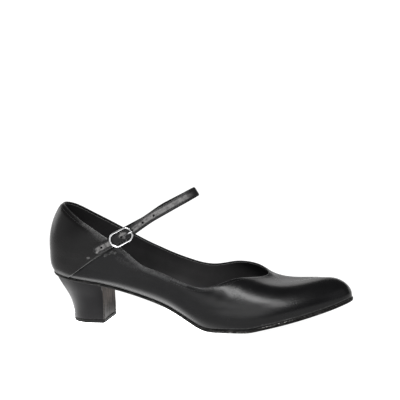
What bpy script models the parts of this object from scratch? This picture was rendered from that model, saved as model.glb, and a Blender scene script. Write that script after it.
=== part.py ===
"""Right-foot character dance shoe with an instep strap, as separate solids.

The tables hold millimetres measured from the back of the heel: x runs to the toe, y to the inner
(medial) side of the foot and z up from the floor. One empty carries the whole shoe and centres it
over its footprint.
"""

import math
from collections import namedtuple

import bmesh
import bpy
import numpy as np
from mathutils import Vector

MM = 0.001
WELD = 0.00001
SHARP_ANGLE = math.radians(35.0)

# Walls, layers and clearances
GAP = 0.3
FOOT_GAP = 0.4
WALL = 1.5
COUNTER_STEP = 0.6
SEAM_WIDTH = 0.5
SOLE_RIM = 0.6
INSOLE_INSET = 3.3
INSOLE_THICKNESS = 2.0
TOP_PIECE_THICKNESS = 3.0

# Plan of the sole: distance of each edge from the foot's middle line
PlanRow = namedtuple("PlanRow", "x lateral medial")
HEEL_TIP = (3.0, 0.0)
TOE_TIP = (259.8, 5.0)
SOLE_PLAN = [
    PlanRow(9.0, 16.5, 16.5),
    PlanRow(20.0, 23.2, 23.2),
    PlanRow(36.0, 26.0, 26.0),
    PlanRow(57.0, 26.4, 25.4),
    PlanRow(80.0, 27.6, 23.2),
    PlanRow(105.0, 31.4, 23.2),
    PlanRow(130.0, 37.4, 28.2),
    PlanRow(150.0, 41.2, 34.0),
    PlanRow(168.0, 42.0, 38.8),
    PlanRow(186.0, 40.2, 41.0),
    PlanRow(206.0, 35.0, 39.0),
    PlanRow(226.0, 26.4, 33.0),
    PlanRow(242.0, 17.0, 26.0),
    PlanRow(253.5, 7.6, 18.2),
]

# Side profile of the sole: height of its underside and its thickness
ProfileRow = namedtuple("ProfileRow", "x bottom thickness")
TREAD_REAR_X = 153.0
TREAD_FRONT_X = 178.0
REAR_PROFILE = [
    ProfileRow(0.0, 41.6, 2.2),
    ProfileRow(23.0, 37.6, 2.2),
    ProfileRow(42.0, 35.0, 2.2),
    ProfileRow(57.0, 32.4, 2.2),
    ProfileRow(74.0, 28.4, 2.2),
    ProfileRow(92.0, 23.4, 2.3),
    ProfileRow(110.0, 17.2, 2.5),
    ProfileRow(129.0, 7.4, 2.8),
    ProfileRow(142.0, 1.3, 3.0),
    ProfileRow(TREAD_REAR_X, 0.0, 3.0),
]
FRONT_PROFILE = [
    ProfileRow(TREAD_FRONT_X, 0.0, 3.0),
    ProfileRow(190.0, 1.7, 3.0),
    ProfileRow(212.0, 6.3, 3.0),
    ProfileRow(235.0, 12.0, 3.0),
    ProfileRow(252.0, 17.0, 3.0),
    ProfileRow(262.0, 20.4, 3.0),
]

# Sections of the upper's outer face, each a curve from the sole (foot) to the topline (top).
# low_x, low_out and low_rise place its lower handle beside the sole's edge; reach and drop place
# its upper handle towards the lower one and below the topline.
SectionRow = namedtuple(
    "SectionRow", "foot_x low_x low_out low_rise top_x top_y top_z reach drop"
)
LATERAL_SEAM = SectionRow(22.0, 36.0, 3.0, 9.0, 67.5, -27.6, 69.8, 0.50, 8.0)
LATERAL_FRONT = [
    SectionRow(42.0, 53.0, 3.2, 7.5, 77.0, -28.3, 62.0, 0.50, 7.0),
    SectionRow(62.0, 70.0, 3.2, 7.0, 87.5, -29.2, 53.6, 0.50, 6.5),
    SectionRow(85.0, 91.0, 3.2, 7.0, 103.0, -31.0, 48.3, 0.50, 6.5),
    SectionRow(108.0, 111.0, 3.2, 8.0, 117.0, -33.0, 43.0, 0.50, 7.0),
    SectionRow(130.0, 130.5, 3.2, 9.5, 131.0, -34.8, 38.3, 0.60, 8.5),
    SectionRow(150.0, 148.0, 3.0, 12.0, 143.0, -35.2, 36.9, 0.65, 9.5),
    SectionRow(168.0, 164.0, 2.8, 14.0, 154.0, -33.0, 39.2, 0.65, 9.0),
    SectionRow(190.0, 184.0, 2.4, 16.0, 166.0, -26.5, 43.0, 0.60, 8.5),
    SectionRow(212.0, 206.0, 2.0, 18.0, 174.0, -20.0, 43.4, 0.55, 8.0),
    SectionRow(235.0, 231.0, 0.6, 24.5, 182.0, -11.5, 42.2, 0.46, 11.6),
    SectionRow(252.0, 250.0, -5.0, 32.0, 187.0, -4.0, 41.4, 0.38, 15.0),
]
TOE_SECTION = SectionRow(259.8, 259.8, -9.0, 35.0, 189.0, 3.0, 41.8, 0.34, 19.0)
MEDIAL_FRONT = [
    SectionRow(253.0, 251.0, -6.0, 34.4, 187.5, 8.5, 43.2, 0.38, 22.5),
    SectionRow(240.0, 236.0, -1.0, 34.5, 183.0, 14.0, 44.8, 0.46, 23.0),
    SectionRow(220.0, 214.0, 2.0, 28.5, 176.0, 20.0, 46.2, 0.52, 21.0),
    SectionRow(200.0, 194.0, 2.4, 19.0, 166.0, 26.0, 46.8, 0.58, 13.5),
    SectionRow(182.0, 176.0, 2.6, 17.0, 155.0, 30.5, 46.2, 0.60, 9.5),
    SectionRow(163.0, 159.0, 2.8, 14.0, 145.0, 32.2, 44.2, 0.60, 9.5),
    SectionRow(146.0, 144.0, 3.0, 12.0, 134.0, 32.0, 42.6, 0.55, 10.0),
    SectionRow(127.0, 127.0, 3.4, 11.0, 123.0, 30.4, 44.0, 0.50, 10.0),
    SectionRow(105.0, 108.0, 4.5, 9.0, 113.0, 29.2, 47.2, 0.50, 9.0),
    SectionRow(82.0, 88.0, 4.2, 8.5, 101.0, 28.2, 51.8, 0.50, 8.0),
    SectionRow(60.0, 69.0, 3.5, 8.0, 89.0, 27.4, 57.2, 0.50, 7.5),
    SectionRow(41.0, 52.0, 3.2, 8.0, 78.0, 26.8, 62.4, 0.50, 7.5),
]
MEDIAL_SEAM = SectionRow(22.0, 36.0, 3.0, 9.0, 67.5, 26.4, 67.8, 0.50, 8.0)
MEDIAL_COUNTER = [
    SectionRow(20.0, 31.5, 3.1, 11.0, 57.0, 25.8, 73.2, 0.52, 11.0),
    SectionRow(17.0, 26.0, 3.3, 13.5, 45.0, 24.0, 80.0, 0.56, 13.5),
    SectionRow(13.5, 18.0, 3.6, 16.0, 32.0, 19.6, 88.0, 0.64, 16.0),
    SectionRow(8.5, 9.5, 4.2, 18.0, 20.5, 12.5, 96.0, 0.80, 17.5),
]
HEEL_SECTION = SectionRow(3.0, 3.0, 5.4, 19.5, 12.4, 0.0, 100.0, 0.96, 18.0)
LATERAL_COUNTER = [
    SectionRow(8.5, 9.5, 4.2, 18.0, 20.5, -12.5, 96.2, 0.80, 17.5),
    SectionRow(13.5, 18.0, 3.6, 16.0, 32.0, -19.6, 89.4, 0.64, 16.0),
    SectionRow(17.0, 26.0, 3.3, 13.5, 45.0, -24.2, 82.4, 0.56, 13.5),
    SectionRow(20.0, 31.5, 3.1, 11.0, 57.0, -26.6, 75.4, 0.52, 11.0),
]
FRONT_STATIONS = 74
COUNTER_STATIONS = 28
WALL_ROWS = 13

# Edge of the sole and of the insole: how far each loop is drawn in, and its share of the height
EdgeRow = namedtuple("EdgeRow", "inset height")
SOLE_EDGE = [EdgeRow(0.9, 0.0), EdgeRow(0.0, 0.3), EdgeRow(0.0, 0.8), EdgeRow(0.5, 1.0)]
INSOLE_EDGE = [EdgeRow(0.0, 0.0), EdgeRow(0.0, 0.6), EdgeRow(0.6, 1.0)]
PLATE_STATIONS = 42

# Heel block: section at each height of its back line
HeelRow = namedtuple("HeelRow", "height back_x half_width breast_half")
HEEL_BREAST_X = 49.8
HEEL_LEVELS = [
    HeelRow(0.0, 18.8, 17.6, 17.4),
    HeelRow(4.0, 18.5, 17.6, 17.4),
    HeelRow(10.5, 18.3, 17.7, 17.3),
    HeelRow(18.0, 16.7, 18.2, 17.2),
    HeelRow(25.5, 13.0, 19.4, 17.2),
    HeelRow(32.8, 8.2, 21.8, 17.6),
    HeelRow(39.0, 4.6, 24.0, 18.6),
]
HEEL_ROWS = 9
HEEL_ARC_POINTS = 9
HEEL_SIDE_POINTS = 3
TOP_PIECE_CHAMFER = 0.5
HEEL_ROUNDNESS = 1.08

# Instep strap: a band on edge in one plane that rises to the front
STRAP_WIDTH = 8.0
STRAP_THICKNESS = 1.8
STRAP_RISE = math.radians(28.1)
STRAP_ORIGIN = (60.0, 0.0, 71.0)
StrapRow = namedtuple("StrapRow", "along y")
STRAP_PATH = [
    StrapRow(-12.0, 22.95),
    StrapRow(0.0, 22.95),
    StrapRow(14.0, 22.4),
    StrapRow(32.0, 19.8),
    StrapRow(52.0, 15.0),
    StrapRow(68.0, 9.2),
    StrapRow(77.0, 4.8),
    StrapRow(80.0, 0.0),
    StrapRow(77.0, -5.2),
    StrapRow(68.0, -10.6),
    StrapRow(52.0, -19.0),
    StrapRow(36.0, -26.4),
    StrapRow(25.0, -30.0),
    StrapRow(14.5, -31.0),
    StrapRow(4.0, -31.1),
    StrapRow(-3.5, -31.0),
    StrapRow(-9.0, -29.75),
    StrapRow(-14.5, -29.5),
]
STRAP_STATIONS = 64
STRAP_HOLE_RADIUS = 0.9
STRAP_HOLE_PITCH = 10.2
STRAP_HOLES = range(-2, 4)
PRONG_HOLE_RADIUS = 1.5
TIP_CUT = 2.6
CUTTER_DEPTH = 7.2

# Buckle, measured in the strap's plane round its centre bar
BUCKLE_ALONG = 14.5
BUCKLE_Y = -31.0
BUCKLE_LENGTH = 22.2
BUCKLE_WIDTH = 13.2
BUCKLE_CORNER = 4.4
FRAME_WIRE = 0.85
BAR_WIRE = 0.7
PRONG_WIRE = 0.5
TAB_LAYER = 1.2
TAB_WIDTH = 8.0
TAB_START = -3.0
TAB_SLOT = 2.0
BAR_BEND = 0.8
PRONG_HOOK = range(-30, -251, -20)
PRONG_CLEAR = 1.2
PRONG_TIP = 1.2
CORNER_POINTS = 5
KNUCKLE_POINTS = 16

# Finishes: colour, roughness and metallic value
Finish = namedtuple("Finish", "colour roughness metallic")
UPPER_LEATHER = Finish((0.028, 0.028, 0.030), 0.42, 0.0)
SOLE_LEATHER = Finish((0.018, 0.017, 0.017), 0.60, 0.0)
INSOLE_LINING = Finish((0.020, 0.020, 0.022), 0.70, 0.0)
HEEL_COVER = Finish((0.024, 0.024, 0.026), 0.45, 0.0)
HEEL_RUBBER = Finish((0.012, 0.012, 0.012), 0.75, 0.0)
BUCKLE_CHROME = Finish((0.85, 0.86, 0.88), 0.12, 1.0)


def clear_scene():
    """Remove every object that the scene starts with."""
    for thing in list(bpy.data.objects):
        bpy.data.objects.remove(thing)


def new_collection(name):
    """Add a collection to the scene."""
    collection = bpy.data.collections.new(name)
    bpy.context.scene.collection.children.link(collection)
    return collection


def finish_material(name, finish):
    """Principled material of one finish."""
    material = bpy.data.materials.new(name)
    material.use_nodes = True
    shader = material.node_tree.nodes["Principled BSDF"]
    shader.inputs["Base Color"].default_value = (*finish.colour, 1.0)
    shader.inputs["Roughness"].default_value = finish.roughness
    shader.inputs["Metallic"].default_value = finish.metallic
    return material


def cubic_curve(knots, values, start_slope=None, end_slope=None):
    """Smooth curve through values at knots; an end without a slope is left straight."""
    knots = np.asarray(knots, float)
    values = np.asarray(values, float)
    count = len(knots)
    step = np.diff(knots)
    rise = np.diff(values) / step
    system = np.zeros((count, count))
    right = np.zeros(count)
    for i in range(1, count - 1):
        system[i, i - 1:i + 2] = step[i], 2.0 * (step[i - 1] + step[i]), step[i - 1]
        right[i] = 3.0 * (step[i] * rise[i - 1] + step[i - 1] * rise[i])
    if start_slope is None:
        system[0, :2] = 2.0, 1.0
        right[0] = 3.0 * rise[0]
    else:
        system[0, 0] = 1.0
        right[0] = start_slope
    if end_slope is None:
        system[-1, -2:] = 1.0, 2.0
        right[-1] = 3.0 * rise[-1]
    else:
        system[-1, -1] = 1.0
        right[-1] = end_slope
    slope = np.linalg.solve(system, right)

    def curve(at):
        at = np.asarray(at, float)
        i = np.clip(np.searchsorted(knots, at) - 1, 0, count - 2)
        t = (at - knots[i]) / step[i]
        start_part = values[i] * (1 + 2 * t) * (1 - t) ** 2 + slope[i] * step[i] * t * (1 - t) ** 2
        end_part = values[i + 1] * t ** 2 * (3 - 2 * t) + slope[i + 1] * step[i] * t ** 2 * (t - 1)
        return start_part + end_part

    return curve


def chord_lengths(points):
    """Running length along a list of points, from zero."""
    points = np.asarray(points, float)
    steps = np.linalg.norm(np.diff(points, axis=0), axis=1)
    return np.concatenate([[0.0], np.cumsum(steps)])


class SoleOutline:
    """Closed plan outline of the sole, from the heel along the lateral side round the toe."""

    SAMPLES = 2400

    def __init__(self):
        lateral = [(row.x, -row.lateral) for row in SOLE_PLAN]
        medial = [(row.x, row.medial) for row in reversed(SOLE_PLAN)]
        corners = [HEEL_TIP, *lateral, TOE_TIP, *medial]
        lap = corners[-3:] + corners + corners[:4]
        lengths = chord_lengths(lap)
        start = lengths[3]
        self.length = lengths[3 + len(corners)] - start
        knots = lengths - start
        self.curve_x = cubic_curve(knots, [corner[0] for corner in lap])
        self.curve_y = cubic_curve(knots, [corner[1] for corner in lap])
        self.samples = np.linspace(0.0, self.length, self.SAMPLES)
        self.sample_x = self.curve_x(self.samples)
        self.toe_at = self.samples[np.argmax(self.sample_x)]

    def at_x(self, x, side):
        """Place along the outline at x, on side -1 (lateral) or +1 (medial)."""
        on_side = self.samples <= self.toe_at if side < 0 else self.samples >= self.toe_at
        return self.samples[on_side][np.argmin(np.abs(self.sample_x[on_side] - x))]

    def points(self, at, inset=0.0):
        """Plan points and outward normals at places along the outline."""
        at = np.mod(np.asarray(at, float), self.length)
        reach = 0.05
        tangent_x = self.curve_x(at + reach) - self.curve_x(at - reach)
        tangent_y = self.curve_y(at + reach) - self.curve_y(at - reach)
        length = np.hypot(tangent_x, tangent_y)
        normal = np.stack([tangent_y / length, -tangent_x / length], axis=-1)
        plan = np.stack([self.curve_x(at), self.curve_y(at)], axis=-1)
        return plan - inset * normal, normal


def sole_profile(column):
    """Value of a profile column along x, level on the tread."""
    rear = cubic_curve([r.x for r in REAR_PROFILE], [getattr(r, column) for r in REAR_PROFILE],
                       end_slope=0.0)
    front = cubic_curve([r.x for r in FRONT_PROFILE], [getattr(r, column) for r in FRONT_PROFILE],
                        start_slope=0.0)
    level = getattr(FRONT_PROFILE[0], column)

    def profile(x):
        x = np.asarray(x, float)
        ahead = np.where(x >= TREAD_FRONT_X, front(np.maximum(x, TREAD_FRONT_X)), level)
        return np.where(x <= TREAD_REAR_X, rear(np.minimum(x, TREAD_REAR_X)), ahead)

    return profile


OUTLINE = SoleOutline()
SOLE_BOTTOM = sole_profile("bottom")
SOLE_THICKNESS = sole_profile("thickness")


def sole_top(x):
    """Height of the outsole's upper face."""
    return SOLE_BOTTOM(x) + SOLE_THICKNESS(x)


def section_columns(rows):
    """Columns to blend along a run of sections, and the running length between them."""
    columns = []
    tops = []
    feet = []
    for row in rows:
        side = -1 if row.top_y < 0.0 or row is TOE_SECTION or row is HEEL_SECTION else 1
        foot_at = OUTLINE.at_x(row.foot_x, side)
        low_at = OUTLINE.at_x(row.low_x, side)
        columns.append([foot_at, low_at, *row[2:]])
        feet.append(foot_at)
        tops.append((row.top_x, row.top_y, row.top_z))
    columns = np.array(columns)
    if rows[0].top_y > 0.0:
        past_heel = columns[:, 0] < 0.5 * OUTLINE.length
        columns[past_heel, :2] += OUTLINE.length
        feet = columns[:, 0]
    lengths = 0.5 * chord_lengths(tops) + 0.5 * np.abs(np.asarray(feet) - feet[0])
    return columns, lengths


def blend_sections(rows, count):
    """Sections spread evenly along a run of rows, blended column by column."""
    columns, lengths = section_columns(rows)
    places = np.linspace(0.0, lengths[-1], count)
    return np.stack([cubic_curve(lengths, column)(places) for column in columns.T], axis=1)


def wall_grid(sections):
    """Points of the upper's outer face: one row of points for each section."""
    foot_plan, _ = OUTLINE.points(sections[:, 0], SOLE_RIM)
    low_plan, low_normal = OUTLINE.points(sections[:, 1], SOLE_RIM)
    low_out, low_rise, top_x, top_y, top_z, reach, drop = sections[:, 2:].T
    foot_z = sole_top(foot_plan[:, 0]) + FOOT_GAP
    low_plan = low_plan + low_out[:, None] * low_normal
    top_plan = np.stack([top_x, top_y], axis=1)
    high_plan = top_plan + reach[:, None] * (low_plan - top_plan)
    foot = np.column_stack([foot_plan, foot_z])
    low = np.column_stack([low_plan, foot_z + low_rise])
    high = np.column_stack([high_plan, top_z - drop])
    top = np.column_stack([top_plan, top_z])
    v = np.linspace(0.0, 1.0, WALL_ROWS + 1)[None, :, None]
    return ((1 - v) ** 3 * foot[:, None] + 3 * (1 - v) ** 2 * v * low[:, None]
            + 3 * (1 - v) * v ** 2 * high[:, None] + v ** 3 * top[:, None])


def grid_normals(grid):
    """Outward unit normals of a closed ring of sections."""
    around = np.roll(grid, -1, axis=0) - np.roll(grid, 1, axis=0)
    upward = np.gradient(grid, axis=1)
    normals = np.cross(around, upward)
    return normals / np.linalg.norm(normals, axis=2, keepdims=True)


def upper_sections():
    """Every section round the shoe, and which of them belong to the raised counter panel."""
    front = blend_sections(
        [LATERAL_SEAM, *LATERAL_FRONT, TOE_SECTION, *MEDIAL_FRONT, MEDIAL_SEAM], FRONT_STATIONS)
    counter = blend_sections(
        [MEDIAL_SEAM, *MEDIAL_COUNTER, HEEL_SECTION, *LATERAL_COUNTER, LATERAL_SEAM],
        COUNTER_STATIONS)
    for edge, inner in ((0, 1), (-1, -2)):
        run = counter[inner] - counter[edge]
        counter[edge, :2] += SEAM_WIDTH * np.sign(run[:2])
        counter[edge, 2:] += run[2:] * SEAM_WIDTH / np.linalg.norm(run[4:7])
    sections = np.concatenate([front, counter])
    raised = np.arange(len(sections)) >= len(front)
    return sections, raised


def link_object(name, data, material, collection, parent):
    """Put a new object in its collection, on its parent."""
    thing = bpy.data.objects.new(name, data)
    collection.objects.link(thing)
    thing.parent = parent
    if material is not None:
        data.materials.append(material)
    return thing


def solid_mesh(name, points, faces):
    """Smooth-shaded mesh from points in millimetres."""
    mesh = bpy.data.meshes.new(name)
    mesh.from_pydata([tuple(MM * value for value in point) for point in points], [], faces)
    mesh.shade_smooth()
    mesh.set_sharp_from_angle(angle=SHARP_ANGLE)
    return mesh


def make_upper(collection, root):
    """Hollow upper: the last's face, with the leather laid over it as its wall."""
    sections, raised = upper_sections()
    outer = wall_grid(sections)
    last = outer - WALL * grid_normals(outer)
    stations, rows = last.shape[:2]
    faces = []
    for i in range(stations):
        after = (i + 1) % stations
        for j in range(rows - 1):
            faces.append((i * rows + j, after * rows + j, after * rows + j + 1, i * rows + j + 1))
    mesh = solid_mesh("upper", last.reshape(-1, 3), faces)
    material = finish_material("upper_leather", UPPER_LEATHER)
    upper = link_object("upper", mesh, material, collection, root)
    leather = upper.vertex_groups.new(name="leather_thickness")
    for i in range(stations):
        share = 1.0 if raised[i] else WALL / (WALL + COUNTER_STEP)
        leather.add(list(range(i * rows, (i + 1) * rows)), share, "REPLACE")
    shell = upper.modifiers.new("Wall", "SOLIDIFY")
    shell.thickness = (WALL + COUNTER_STEP) * MM
    shell.offset = 1.0
    shell.vertex_group = leather.name
    return upper


def paired_places(count):
    """Places along the outline in lateral and medial pairs, closer together at the ends."""
    even = np.linspace(0.0, 1.0, count + 2)
    share = 0.5 * even + 0.25 * (1.0 - np.cos(math.pi * even))
    lateral = share[:-1] * OUTLINE.toe_at
    medial = OUTLINE.length - share[:0:-1] * (OUTLINE.length - OUTLINE.toe_at)
    return np.concatenate([lateral, medial])


def loop_stack(name, loops):
    """Closed solid from level loops, capped by rungs between the paired sides of a loop."""
    count = len(loops[0])
    half = count // 2
    points = np.concatenate(loops)
    faces = []
    for level in range(len(loops) - 1):
        base = level * count
        for i in range(count):
            after = (i + 1) % count
            faces.append((base + i, base + after, base + count + after, base + count + i))
    cap = [(0, 1, count - 1)]
    cap += [(i, i + 1, count - i - 1, count - i) for i in range(1, half - 1)]
    cap.append((half - 1, half, half + 1))
    top_base = (len(loops) - 1) * count
    faces += [tuple(top_base + i for i in face) for face in cap]
    faces += [tuple(reversed(face)) for face in cap]
    return solid_mesh(name, points, faces)


def make_plate(name, edge, inset, bottom, thickness, material, collection, root):
    """Flat layer under the foot: outline loops drawn in by the edge's profile."""
    places = paired_places(PLATE_STATIONS)
    loops = []
    for row in edge:
        plan, _ = OUTLINE.points(places, inset + row.inset)
        x = plan[:, 0]
        loops.append(np.column_stack([plan, bottom(x) + row.height * thickness(x)]))
    return link_object(name, loop_stack(name, loops), material, collection, root)


def make_outsole(collection, root):
    """Leather outsole with arch, toe spring and rounded edge."""
    material = finish_material("sole_leather", SOLE_LEATHER)
    return make_plate("outsole", SOLE_EDGE, 0.0, SOLE_BOTTOM, SOLE_THICKNESS, material,
                      collection, root)


def make_insole(collection, root):
    """Insole that lies on the outsole inside the upper."""
    material = finish_material("insole_lining", INSOLE_LINING)

    def bottom(x):
        return sole_top(x) + GAP

    def thickness(x):
        return np.full_like(x, INSOLE_THICKNESS)

    return make_plate("insole", INSOLE_EDGE, INSOLE_INSET, bottom, thickness, material,
                      collection, root)


def heel_loop(height, inset=0.0):
    """Plan of the heel at a height of its back line: round back, straight breast."""
    heights = [row.height for row in HEEL_LEVELS]
    back, half, breast_half = (
        float(cubic_curve(heights, [getattr(row, column) for row in HEEL_LEVELS])(height))
        for column in ("back_x", "half_width", "breast_half"))
    back += inset
    half -= inset
    breast_half -= inset
    breast = HEEL_BREAST_X - inset
    middle = back + HEEL_ROUNDNESS * half
    turn = np.linspace(0.0, 0.5 * math.pi, HEEL_ARC_POINTS + 1)
    arc_x = middle - (middle - back) * np.cos(turn)
    arc_y = half * np.sin(turn)
    share = np.linspace(0.0, 1.0, HEEL_SIDE_POINTS + 1)[1:]
    side_x = middle + (breast - middle) * share
    side_y = half + (breast_half - half) * share ** 2
    x = np.concatenate([arc_x, side_x])
    y = np.concatenate([arc_y, side_y])
    lateral = np.column_stack([x, -y])
    medial = np.column_stack([x[:0:-1], y[:0:-1]])
    return np.concatenate([lateral, [(breast, 0.0)], medial])


def make_heel(collection, root):
    """Heel block whose top follows the underside of the sole."""
    base = TOP_PIECE_THICKNESS + GAP
    full = HEEL_LEVELS[-1].height
    loops = []
    for share in np.linspace(0.0, 1.0, HEEL_ROWS):
        plan = heel_loop(base + share * (full - base))
        seat = SOLE_BOTTOM(plan[:, 0]) - GAP
        loops.append(np.column_stack([plan, base + share * (seat - base)]))
    material = finish_material("heel_cover", HEEL_COVER)
    return link_object("heel", loop_stack("heel", loops), material, collection, root)


def make_top_piece(collection, root):
    """Rubber lift under the heel, flat on the floor."""
    loops = []
    for height, inset in ((0.0, TOP_PIECE_CHAMFER), (TOP_PIECE_CHAMFER, 0.0),
                          (TOP_PIECE_THICKNESS, 0.0)):
        plan = heel_loop(height, inset)
        loops.append(np.column_stack([plan, np.full(len(plan), height)]))
    material = finish_material("heel_rubber", HEEL_RUBBER)
    return link_object("top_piece", loop_stack("top_piece", loops), material, collection, root)


def strap_route(count):
    """Middle line of the strap in its plane, with unit normals to its left."""
    points = np.array(STRAP_PATH, float)
    knots = chord_lengths(points)
    places = np.linspace(0.0, knots[-1], count)
    along = cubic_curve(knots, points[:, 0])
    across = cubic_curve(knots, points[:, 1])
    route = np.column_stack([along(places), across(places)])
    tangent = np.gradient(route, axis=0)
    tangent /= np.linalg.norm(tangent, axis=1, keepdims=True)
    return route, np.column_stack([-tangent[:, 1], tangent[:, 0]])


def flat_outline(name, outlines, width, material, collection, parent):
    """Mesh solid from closed outlines in the strap's plane, spread over a width across it."""
    curve = bpy.data.curves.new(name, "CURVE")
    curve.dimensions = "2D"
    curve.fill_mode = "BOTH"
    curve.extrude = 0.5 * width * MM
    for outline in outlines:
        spline = curve.splines.new("POLY")
        spline.points.add(len(outline) - 1)
        for point, (along, y) in zip(spline.points, outline):
            point.co = (along * MM, y * MM, 0.0, 1.0)
        spline.use_cyclic_u = True
    return curve_to_solid(name, curve, material, collection, parent)


def wire(name, points, radius, closed, material, collection, parent):
    """Mesh solid of a round wire through points in the strap's frame."""
    curve = bpy.data.curves.new(name, "CURVE")
    curve.dimensions = "3D"
    curve.bevel_depth = radius * MM
    curve.bevel_resolution = 2
    curve.use_fill_caps = True
    spline = curve.splines.new("POLY")
    spline.points.add(len(points) - 1)
    for point, place in zip(spline.points, points):
        point.co = (*(value * MM for value in place), 1.0)
    spline.use_cyclic_u = closed
    return curve_to_solid(name, curve, material, collection, parent)


def curve_to_solid(name, curve, material, collection, parent):
    """Turn a curve into a welded mesh object at the same place."""
    guide = link_object(name + "_guide", curve, None, collection, parent)
    bpy.context.view_layer.update()
    evaluated = guide.evaluated_get(bpy.context.evaluated_depsgraph_get())
    mesh = bpy.data.meshes.new_from_object(evaluated)
    bpy.data.objects.remove(guide)
    welded = bmesh.new()
    welded.from_mesh(mesh)
    bmesh.ops.remove_doubles(welded, verts=welded.verts, dist=WELD)
    bmesh.ops.recalc_face_normals(welded, faces=welded.faces)
    welded.to_mesh(mesh)
    welded.free()
    mesh.name = name
    mesh.materials.clear()
    mesh.shade_smooth()
    mesh.set_sharp_from_angle(angle=SHARP_ANGLE)
    return link_object(name, mesh, material, collection, parent)


def combine(target, tool, operation):
    """Boolean modifier on a target, with the tool kept as a hidden guide."""
    tool.hide_render = True
    tool.display_type = "WIRE"
    modifier = target.modifiers.new(tool.name, "BOOLEAN")
    modifier.operation = operation
    modifier.object = tool


def block(name, size, centre, turn, cutters, parent):
    """Box cutter in the strap's frame, turned about the strap's thickness."""
    mesh = bpy.data.meshes.new(name)
    shape = bmesh.new()
    bmesh.ops.create_cube(shape, size=1.0)
    bmesh.ops.scale(shape, vec=Vector(size) * MM, verts=shape.verts)
    shape.to_mesh(mesh)
    shape.free()
    cutter = link_object(name, mesh, None, cutters, parent)
    cutter.location = Vector(centre) * MM
    cutter.rotation_euler = (0.0, turn, 0.0)
    return cutter


def punch(name, radius, centre, turn, cutters, parent):
    """Round cutter through the strap, turned to its face."""
    mesh = bpy.data.meshes.new(name)
    shape = bmesh.new()
    bmesh.ops.create_cone(shape, cap_ends=True, segments=12, radius1=radius * MM,
                          radius2=radius * MM, depth=CUTTER_DEPTH * MM)
    shape.to_mesh(mesh)
    shape.free()
    cutter = link_object(name, mesh, None, cutters, parent)
    cutter.location = Vector(centre) * MM
    cutter.rotation_euler = (0.5 * math.pi, 0.0, turn)
    return cutter


def make_strap(material, collection, cutters, plane):
    """Instep strap with its row of holes and a cut tip."""
    route, normals = strap_route(STRAP_STATIONS)
    half = 0.5 * STRAP_THICKNESS
    outline = np.concatenate([route + half * normals, (route - half * normals)[::-1]])
    strap = flat_outline("strap", [outline], STRAP_WIDTH, material, collection, plane)
    lateral = np.flatnonzero(route[:, 1] < -0.5 * abs(BUCKLE_Y))
    for number in STRAP_HOLES:
        along = BUCKLE_ALONG + STRAP_HOLE_PITCH * number
        near = lateral[np.argmin(np.abs(route[lateral, 0] - along))]
        y = route[near, 1]
        turn = math.atan2(normals[near, 1], normals[near, 0]) - 0.5 * math.pi
        radius = PRONG_HOLE_RADIUS if number == 0 else STRAP_HOLE_RADIUS
        name = f"strap_hole_at_{along:.0f}"
        combine(strap, punch(name, radius, (along, y, 0.0), turn, cutters, plane), "DIFFERENCE")
    tip = route[-1]
    for side in (-1.0, 1.0):
        centre = (tip[0], tip[1], side * 0.5 * STRAP_WIDTH)
        size = (TIP_CUT, CUTTER_DEPTH, TIP_CUT)
        name = f"tip_cut_{'lower' if side < 0 else 'upper'}"
        combine(strap, block(name, size, centre, 0.25 * math.pi, cutters, plane), "DIFFERENCE")
    return strap


def buckle_levels():
    """How far the bar and the frame lie outside the strap's middle."""
    bar = -(0.5 * STRAP_THICKNESS + GAP + TAB_LAYER + GAP + BAR_WIRE)
    frame = 0.5 * STRAP_THICKNESS + GAP + FRAME_WIRE
    return bar, frame


def make_tab(material, collection, cutters, plane):
    """Tab under the strap: a strip that ends in an eye round the bar, slotted for the prong."""
    bar_out, _ = buckle_levels()
    eye_y = BUCKLE_Y - bar_out
    bore = BAR_WIRE + GAP
    outer = bore + TAB_LAYER
    turn = np.linspace(-0.5 * math.pi, math.pi + math.asin(bore / outer), KNUCKLE_POINTS)
    eye = [(BUCKLE_ALONG + outer * math.cos(a), eye_y + outer * math.sin(a)) for a in turn]
    outline = [(TAB_START, eye_y - outer), *eye, (TAB_START, eye_y - bore)]
    round_turn = np.linspace(0.0, 2.0 * math.pi, KNUCKLE_POINTS, endpoint=False)
    hole = [(BUCKLE_ALONG + bore * math.cos(a), eye_y + bore * math.sin(a)) for a in round_turn]
    tab = flat_outline("buckle_tab", [outline, hole], TAB_WIDTH, material, collection, plane)
    slot_size = (3.0 * outer, CUTTER_DEPTH, TAB_SLOT)
    slot_centre = (BUCKLE_ALONG + 0.25 * outer, eye_y, 0.0)
    slot = block("prong_slot", slot_size, slot_centre, 0.0, cutters, plane)
    combine(tab, slot, "DIFFERENCE")
    return tab


def make_buckle_frame(material, collection, cutters, plane):
    """Rounded wire frame with its lower centre bar."""
    bar_out, frame_out = buckle_levels()
    frame_y = BUCKLE_Y - frame_out
    bar_y = BUCKLE_Y - bar_out
    half_length = 0.5 * BUCKLE_LENGTH - FRAME_WIRE
    half_width = 0.5 * BUCKLE_WIDTH - FRAME_WIRE
    ring = []
    for quarter, (end, side) in enumerate(((1, 1), (-1, 1), (-1, -1), (1, -1))):
        centre = (end * (half_length - BUCKLE_CORNER), side * (half_width - BUCKLE_CORNER))
        for step in range(CORNER_POINTS + 1):
            angle = 0.5 * math.pi * (quarter + step / CORNER_POINTS)
            ring.append((BUCKLE_ALONG + centre[0] + BUCKLE_CORNER * math.cos(angle), frame_y,
                         centre[1] + BUCKLE_CORNER * math.sin(angle)))
    frame = wire("buckle_frame", ring, FRAME_WIRE, True, material, collection, plane)
    leg = [(frame_y, half_width), (bar_y - BAR_BEND, half_width), (bar_y, half_width - BAR_BEND)]
    path = [(BUCKLE_ALONG, y, n) for y, n in leg]
    path += [(BUCKLE_ALONG, y, -n) for y, n in reversed(leg)]
    bar = wire("centre_bar", path, BAR_WIRE, False, None, cutters, plane)
    combine(frame, bar, "UNION")
    return frame


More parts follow.
